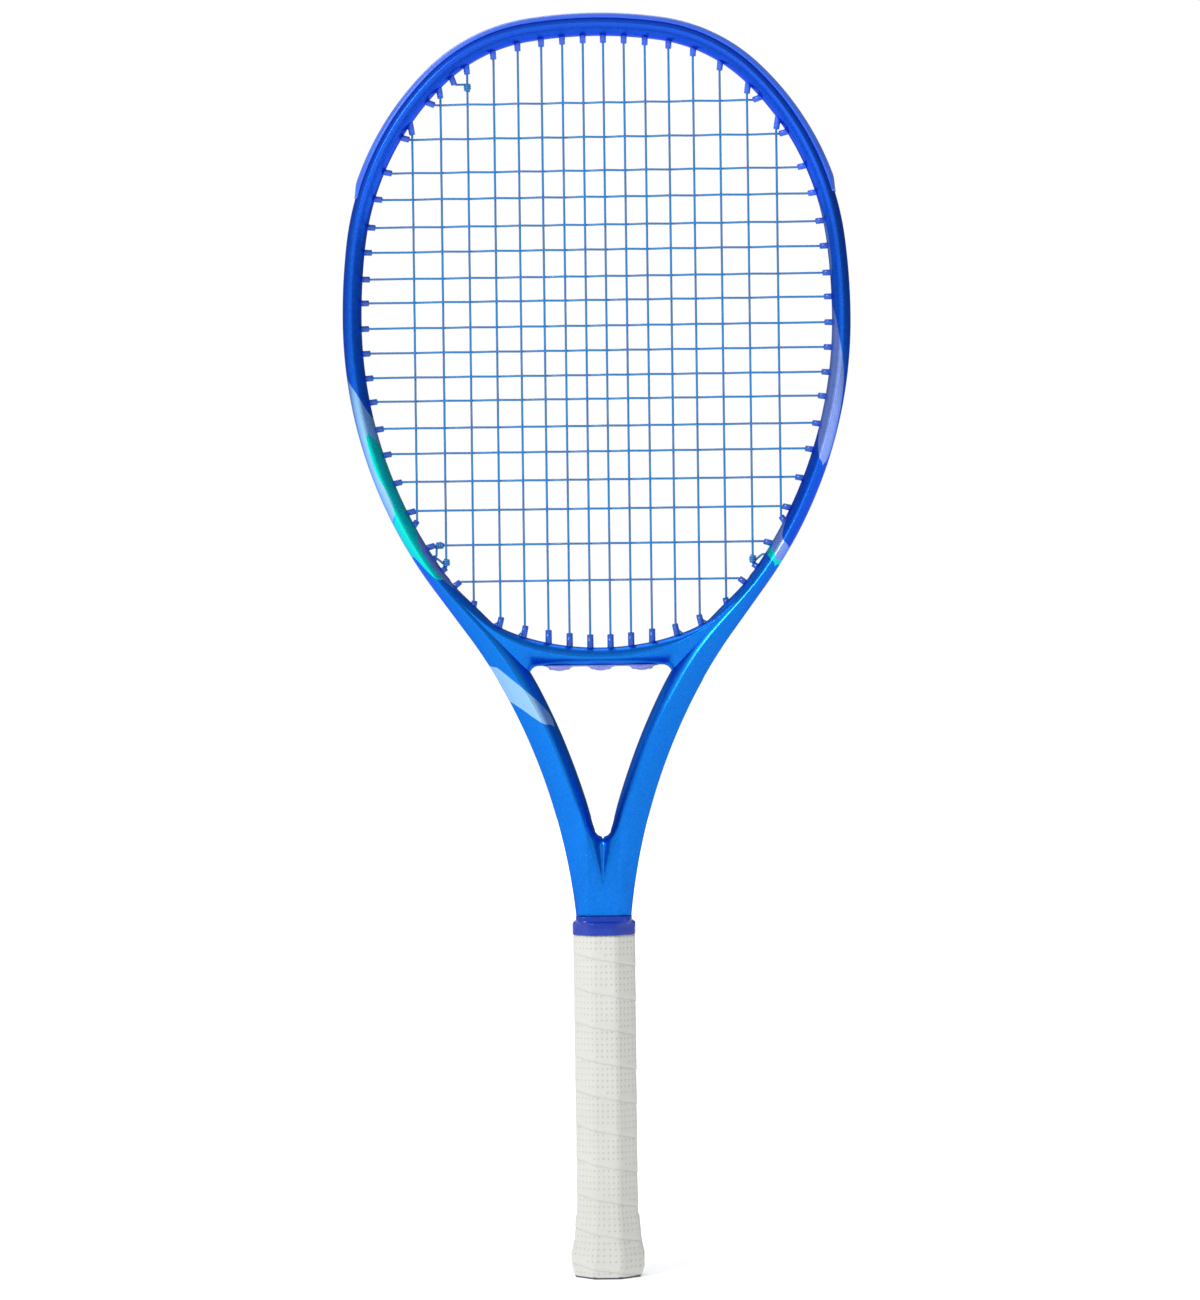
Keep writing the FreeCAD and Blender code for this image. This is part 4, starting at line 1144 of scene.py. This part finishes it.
def octagonPoint(share, w, d):
    a, b = w * handle["facet"], d * handle["facetDepth"]
    corners = [(0, -d), (a, -d), (w, -b), (w, b), (a, d), (-a, d), (-w, b), (-w, -b), (-a, -d), (0, -d)]
    lengths = [math.dist(p, q) for p, q in zip(corners, corners[1:])]
    total = sum(lengths)
    x = y = 0.0
    for offset in (-1.0, -0.5, 0.0, 0.5, 1.0):
        rest = (share * total + offset * handle["corner"]) % total
        for (p, q), length in zip(zip(corners, corners[1:]), lengths):
            if rest <= length:
                x += p[0] + (q[0] - p[0]) * rest / length
                y += p[1] + (q[1] - p[1]) * rest / length
                break
            rest -= length
    return x / 5, y / 5


def handlePoint(share, z, outward):
    w, d = handleSize(z)
    x, y = octagonPoint(share, w + outward, d + outward)
    return (x, y, z)


def seamHeights(share):
    first = handle["seamStart"] - handle["pitch"] * share
    count = int(handle["high"] / handle["pitch"]) + 3
    return [first + handle["pitch"] * k for k in range(-1, count)]


def gripColumn(levels, share):
    heights, lifts = [z for z, isRow in levels], []
    seams = seamHeights(share)
    for seam in seams:
        near = min(range(len(heights)), key=lambda i: abs(levels[i][0] - seam))
        if 0 < near < len(heights) - 2 and abs(levels[near][0] - seam) < 0.6:
            heights[near], heights[near + 1] = seam - 0.15, seam + 0.35
    for z in heights:
        above = min(z - seam for seam in seams if z - seam > -0.16)
        fall = handle["overlapFall"] * above / handle["pitch"]
        lifts.append(-handle["seamDepth"] if above < 0.0 else handle["overlap"] - fall)
    return heights, lifts, seams


def gripLevels():
    # heights of the rows of points, and whether a row holds the dimples' middles
    low, high, step = handle["low"], handle["high"], handle["rowHeight"]
    levels = [(low, False), (low + 0.4, False)]
    for row in range(int((high - low) / step)):
        for u in handle["cells"]:
            z = low + 1.0 + (row + u) * step
            if z < high - 0.8:
                levels.append((z, u == 0.5))
    return levels + [(high - 0.3, False), (high, False)]


def makeGripMesh():
    levels = gripLevels()
    columns = [(c + u) / handle["dimples"] for c in range(handle["dimples"]) for u in handle["cells"]]
    grid = [gripColumn(levels, share) for share in columns]
    points, uvs, dimpleShadeSeamDirt = [], [], []

    def addPoint(share, z, lift, shadeAndDirt):
        points.append(handlePoint(share, z, lift))
        uvs.append((share * handle["around"], z))
        dimpleShadeSeamDirt.append(shadeAndDirt)

    for number, (base, isRow) in enumerate(levels):
        for i, share in enumerate(columns):
            heights, lifts, seams = grid[i]
            z, lift = heights[number], lifts[number]
            blank = any(-0.9 < z - seam < handle["blankBand"] for seam in seams)
            dip = isRow and i % 4 == 2 and not blank
            # painted shade fills each dimple at full strength; the tape's seams get some dirt
            shadeAndDirt = 1.0 if dip else (0.4 if lift < -0.2 else 0.0)
            if number in (0, len(levels) - 1):
                lift = -0.5
            elif dip:
                lift -= handle["dimpleDepth"]
            addPoint(share, z, lift - 0.2, shadeAndDirt)
    for z in (handle["high"], handle["low"]):
        for share in columns:
            addPoint(share, z, -handle["turnIn"], 0.0)
    count = len(columns)
    faces = gridFaces(len(levels) + 1, count, True)
    first = len(points) - count
    faces += [(first + j, first + (j + 1) % count, (j + 1) % count, j) for j in range(count)]
    mesh = newMesh("grip_tape", points, faces, uvs)
    attribute = mesh.attributes.new("dimpleShadeSeamDirt", "FLOAT", "POINT")
    for i, value in enumerate(dimpleShadeSeamDirt):
        attribute.data[i].value = value
    for polygon in mesh.polygons:
        polygon.use_smooth = True
    return mesh


def gripMaterial():
    m = Nodes("grip_leatherette")
    place = m.place()
    dimpleShadeSeamDirt = m.add("ShaderNodeAttribute", attribute_name="dimpleShadeSeamDirt").outputs["Fac"]
    tone = m.noise(place, 32.0, 4.0)
    base = m.mix(tone, colour(194, 194, 188), colour(205, 205, 199))
    # painted shade darkens the dimples towards grey, and dirt darkens the seams
    base = m.mix(m.math("MULTIPLY", dimpleShadeSeamDirt, 0.55), base, colour(136, 137, 130))
    grain = m.cells(place, 1700.0)
    first = m.bump(grain.outputs["Distance"], 0.22, 0.08)
    normal = m.bump(m.noise(place, 420.0, 4.0), 0.18, 0.2, first)
    rough = m.spread(tone, 0.3, 0.7, 0.5, 0.62)
    return m.finish(base, rough, normal, Sheen_Weight=0.12, Sheen_Roughness=0.4, Specular_IOR_Level=0.4)


print("stage: handle")
addPiece("grip_tape", makeGripMesh(), gripMaterial(), stands=("grip_wrap",))

collar = {
    "rows": [  # height, half width, half depth
        (185.2, 16.5, 15.2), (185.3, 16.95, 15.6), (185.9, 17.1, 15.8), (188.6, 17.1, 15.8),
        (191.2, 17.05, 15.75), (191.8, 16.8, 15.5), (192.4, 15.9, 14.2), (192.8, 15.45, 13.5),
        (193.3, 15.3, 13.2), (194.8, 15.15, 13.05), (195.25, 15.05, 12.95), (195.4, 14.8, 12.6),
        (195.3, 14.0, 11.6), (194.9, 13.2, 10.8), (194.0, 12.4, 10.0), (187.0, 12.4, 10.0)],
    "ovalFrom": 191.0,        # its upper band is rounder than the octagon below
    "ovalTo": 193.2,
    "sides": 96,
}


def makeCollar():
    points, sides = [], collar["sides"]
    for z, w, d in collar["rows"]:
        for i in range(sides):
            x, y = octagonPoint(i / sides, w, d)
            oval = ((abs(x) / w) ** 5 + (abs(y) / d) ** 5) ** -0.2
            scale = 1 + (oval - 1) * blendShare(z, collar["ovalFrom"], collar["ovalTo"])
            points.append((x * scale, y * scale, z))
    faces = gridFaces(len(collar["rows"]), sides, True)
    return cleanMesh(newMesh("grip_band", points, faces), 0.003, fill=True)


rubber = tonedMaterial("collar_rubber", (colour(0, 40, 146), colour(6, 54, 166)), (60.0, 3.0), (0.22, 0.36),
                       (300.0, 3.0), (500.0, 3.0, 0.05, 0.1),
                       Coat_Weight=0.15, Coat_Roughness=0.08, Specular_IOR_Level=0.3)
addPiece("grip_band", makeCollar(), rubber, stands=("grip_collar",))

# CAD pieces that keep their shape get a finish of their own
capPlastic = plasticMaterial("cap_nylon", colour(52, 54, 58), colour(70, 72, 77), 0.45, 0.16)
doorPlastic = plasticMaterial("door_nylon", colour(60, 62, 67), colour(84, 86, 92), 0.4, 0.12)
plugFinish = plasticMaterial("plug_silicone", colour(150, 156, 164), colour(176, 182, 190), 0.55, 0.1, 0.2)
tapeFinish = plasticMaterial("tape_black", colour(14, 14, 16), colour(30, 30, 33), 0.35, 0.2)


def foamMaterial():
    m = Nodes("handle_foam")
    place = m.place()
    cells = m.cells(place, 900.0)
    base = m.mix(m.noise(place, 40.0, 3.0), colour(196, 188, 168), colour(218, 212, 196))
    base = m.mix(m.spread(cells.outputs["Distance"], 0.0, 0.45), colour(150, 142, 122), base)
    normal = m.bump(cells.outputs["Distance"], 0.5, 0.3)
    return m.finish(base, 0.8, normal)


def steelMaterial():
    m = Nodes("staple_steel")
    place = m.place()
    scratch = m.add("ShaderNodeMapping")
    scratch.inputs["Scale"].default_value = (1.0, 1.0, 12.0)
    m.link(place, scratch.inputs["Vector"])
    grain = m.noise(scratch.outputs[0], 600.0, 3.0)
    base = m.mix(grain, colour(150, 152, 156), colour(196, 198, 202))
    rough = m.spread(grain, 0.3, 0.7, 0.26, 0.4)
    return m.finish(base, rough, m.bump(grain, 0.1, 0.05), Metallic=1.0)


for node, finish in (("butt_cap", capPlastic), ("butt_cap_door", doorPlastic), ("balance_plugs", plugFinish),
                     ("finishing_tape", tapeFinish), ("handle_core", foamMaterial()),
                     ("butt_cap_staples", steelMaterial())):
    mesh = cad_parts[node].data
    mesh.materials.clear()
    mesh.materials.append(finish)


# floor, lights and camera

studio = {
    "bright": (-0.6, -0.55, 0.58),    # the room is brightest this way
    "room": (-0.6, 0.95, 0.26, 0.84),
    "distance": 2200.0,
    "aim": (-0.3, 0.0, 339.3),
    "turn": 1.6,              # degrees to the right of straight on
    "roll": 0.73,
    "frameHeight": 705.6,
    "sensor": 36.0,
    "floorHalf": 6000.0,
    "floorColours": (colour(240, 241, 243), colour(246, 246, 248)),
    "floorGlow": (0.6, 2.4, 0.4, 1.0),        # grows with the distance
    "lightsAim": (0.0, 0.0, 0.35),
    "lights": [               # name, place, size and power
        ("key", (-1.5, -1.7, 1.9), (0.6, 0.6), 36.0),
        ("fill", (1.8, -1.6, 0.8), (1.4, 1.4), 4.0),
        ("rim", (-0.4, 1.3, 1.9), (1.6, 0.6), 8.0)],
}


def makeStage():
    half = studio["floorHalf"]
    points = [(x, y, 0.0) for y in (-half, half) for x in (-half, half)]
    mesh = newMesh("studio_floor", points, gridFaces(2, 2))
    m = Nodes("studio_floor")
    place = m.place()
    base = m.mix(m.noise(place, 3.0), *studio["floorColours"])
    glow = m.finish(base, 0.9, Emission_Color=studio["floorColours"][0])
    away = m.add("ShaderNodeVectorMath", operation="LENGTH")
    m.link(place, away.inputs[0])
    m.link(m.spread(away.outputs["Value"], *studio["floorGlow"]), m.shader.inputs["Emission Strength"])
    mesh.materials.append(glow)
    addObject("studio_floor", mesh)


def makeWorld():
    # a soft room, brighter towards the key light; the backdrop itself is seen white
    world = bpy.data.worlds.new("studio")
    bpy.context.scene.world = world
    world.use_nodes = True
    tree = world.node_tree
    new, background = tree.nodes.new, tree.nodes["Background"]
    direction, towards = new("ShaderNodeTexCoord"), new("ShaderNodeVectorMath")
    level, path, seen = new("ShaderNodeMapRange"), new("ShaderNodeLightPath"), new("ShaderNodeMath")
    towards.operation, seen.operation = "DOT_PRODUCT", "MAXIMUM"
    towards.inputs[1].default_value = Vector(studio["bright"]).normalized()
    for socket, value in zip(("From Min", "From Max", "To Min", "To Max"), studio["room"]):
        level.inputs[socket].default_value = value
    background.inputs[0].default_value = (1.0, 1.0, 1.0, 1.0)
    wire(tree, (direction.outputs["Generated"], towards.inputs[0]),
         (towards.outputs["Value"], level.inputs["Value"]), (path.outputs["Is Camera Ray"], seen.inputs[0]),
         (level.outputs["Result"], seen.inputs[1]), (seen.outputs["Value"], background.inputs[1]))


def addLight(name, place, size, power):
    data = bpy.data.lights.new(name, "AREA")
    data.shape, (data.size, data.size_y), data.energy = "RECTANGLE", size, power
    light = addObject(name, data)
    light.location = place
    towards = Vector(studio["lightsAim"]) - Vector(place)
    light.rotation_euler = towards.to_track_quat("-Z", "Y").to_euler()


def makeCamera():
    camera = addObject("camera", bpy.data.cameras.new("camera"))
    turn, roll = math.radians(studio["turn"]), math.radians(studio["roll"])
    away = Vector((math.sin(turn), -math.cos(turn), 0.0))
    camera.location = Vector(studio["aim"]) * mm + away * studio["distance"] * mm
    tilted = Matrix.Rotation(roll, 3, -away)
    right, up = tilted @ Vector((math.cos(turn), math.sin(turn), 0.0)), tilted @ upward
    camera.rotation_euler = Matrix((right, up, away)).transposed().to_euler()
    camera.data.sensor_width = studio["sensor"]
    camera.data.lens = studio["sensor"] * studio["distance"] / studio["frameHeight"]
    camera.data.clip_end = 50.0
    bpy.context.scene.camera = camera


print("stage: studio")
makeStage()
makeWorld()
for light in studio["lights"]:
    addLight(*light)
makeCamera()
bpy.context.scene.view_settings.view_transform = "Standard"
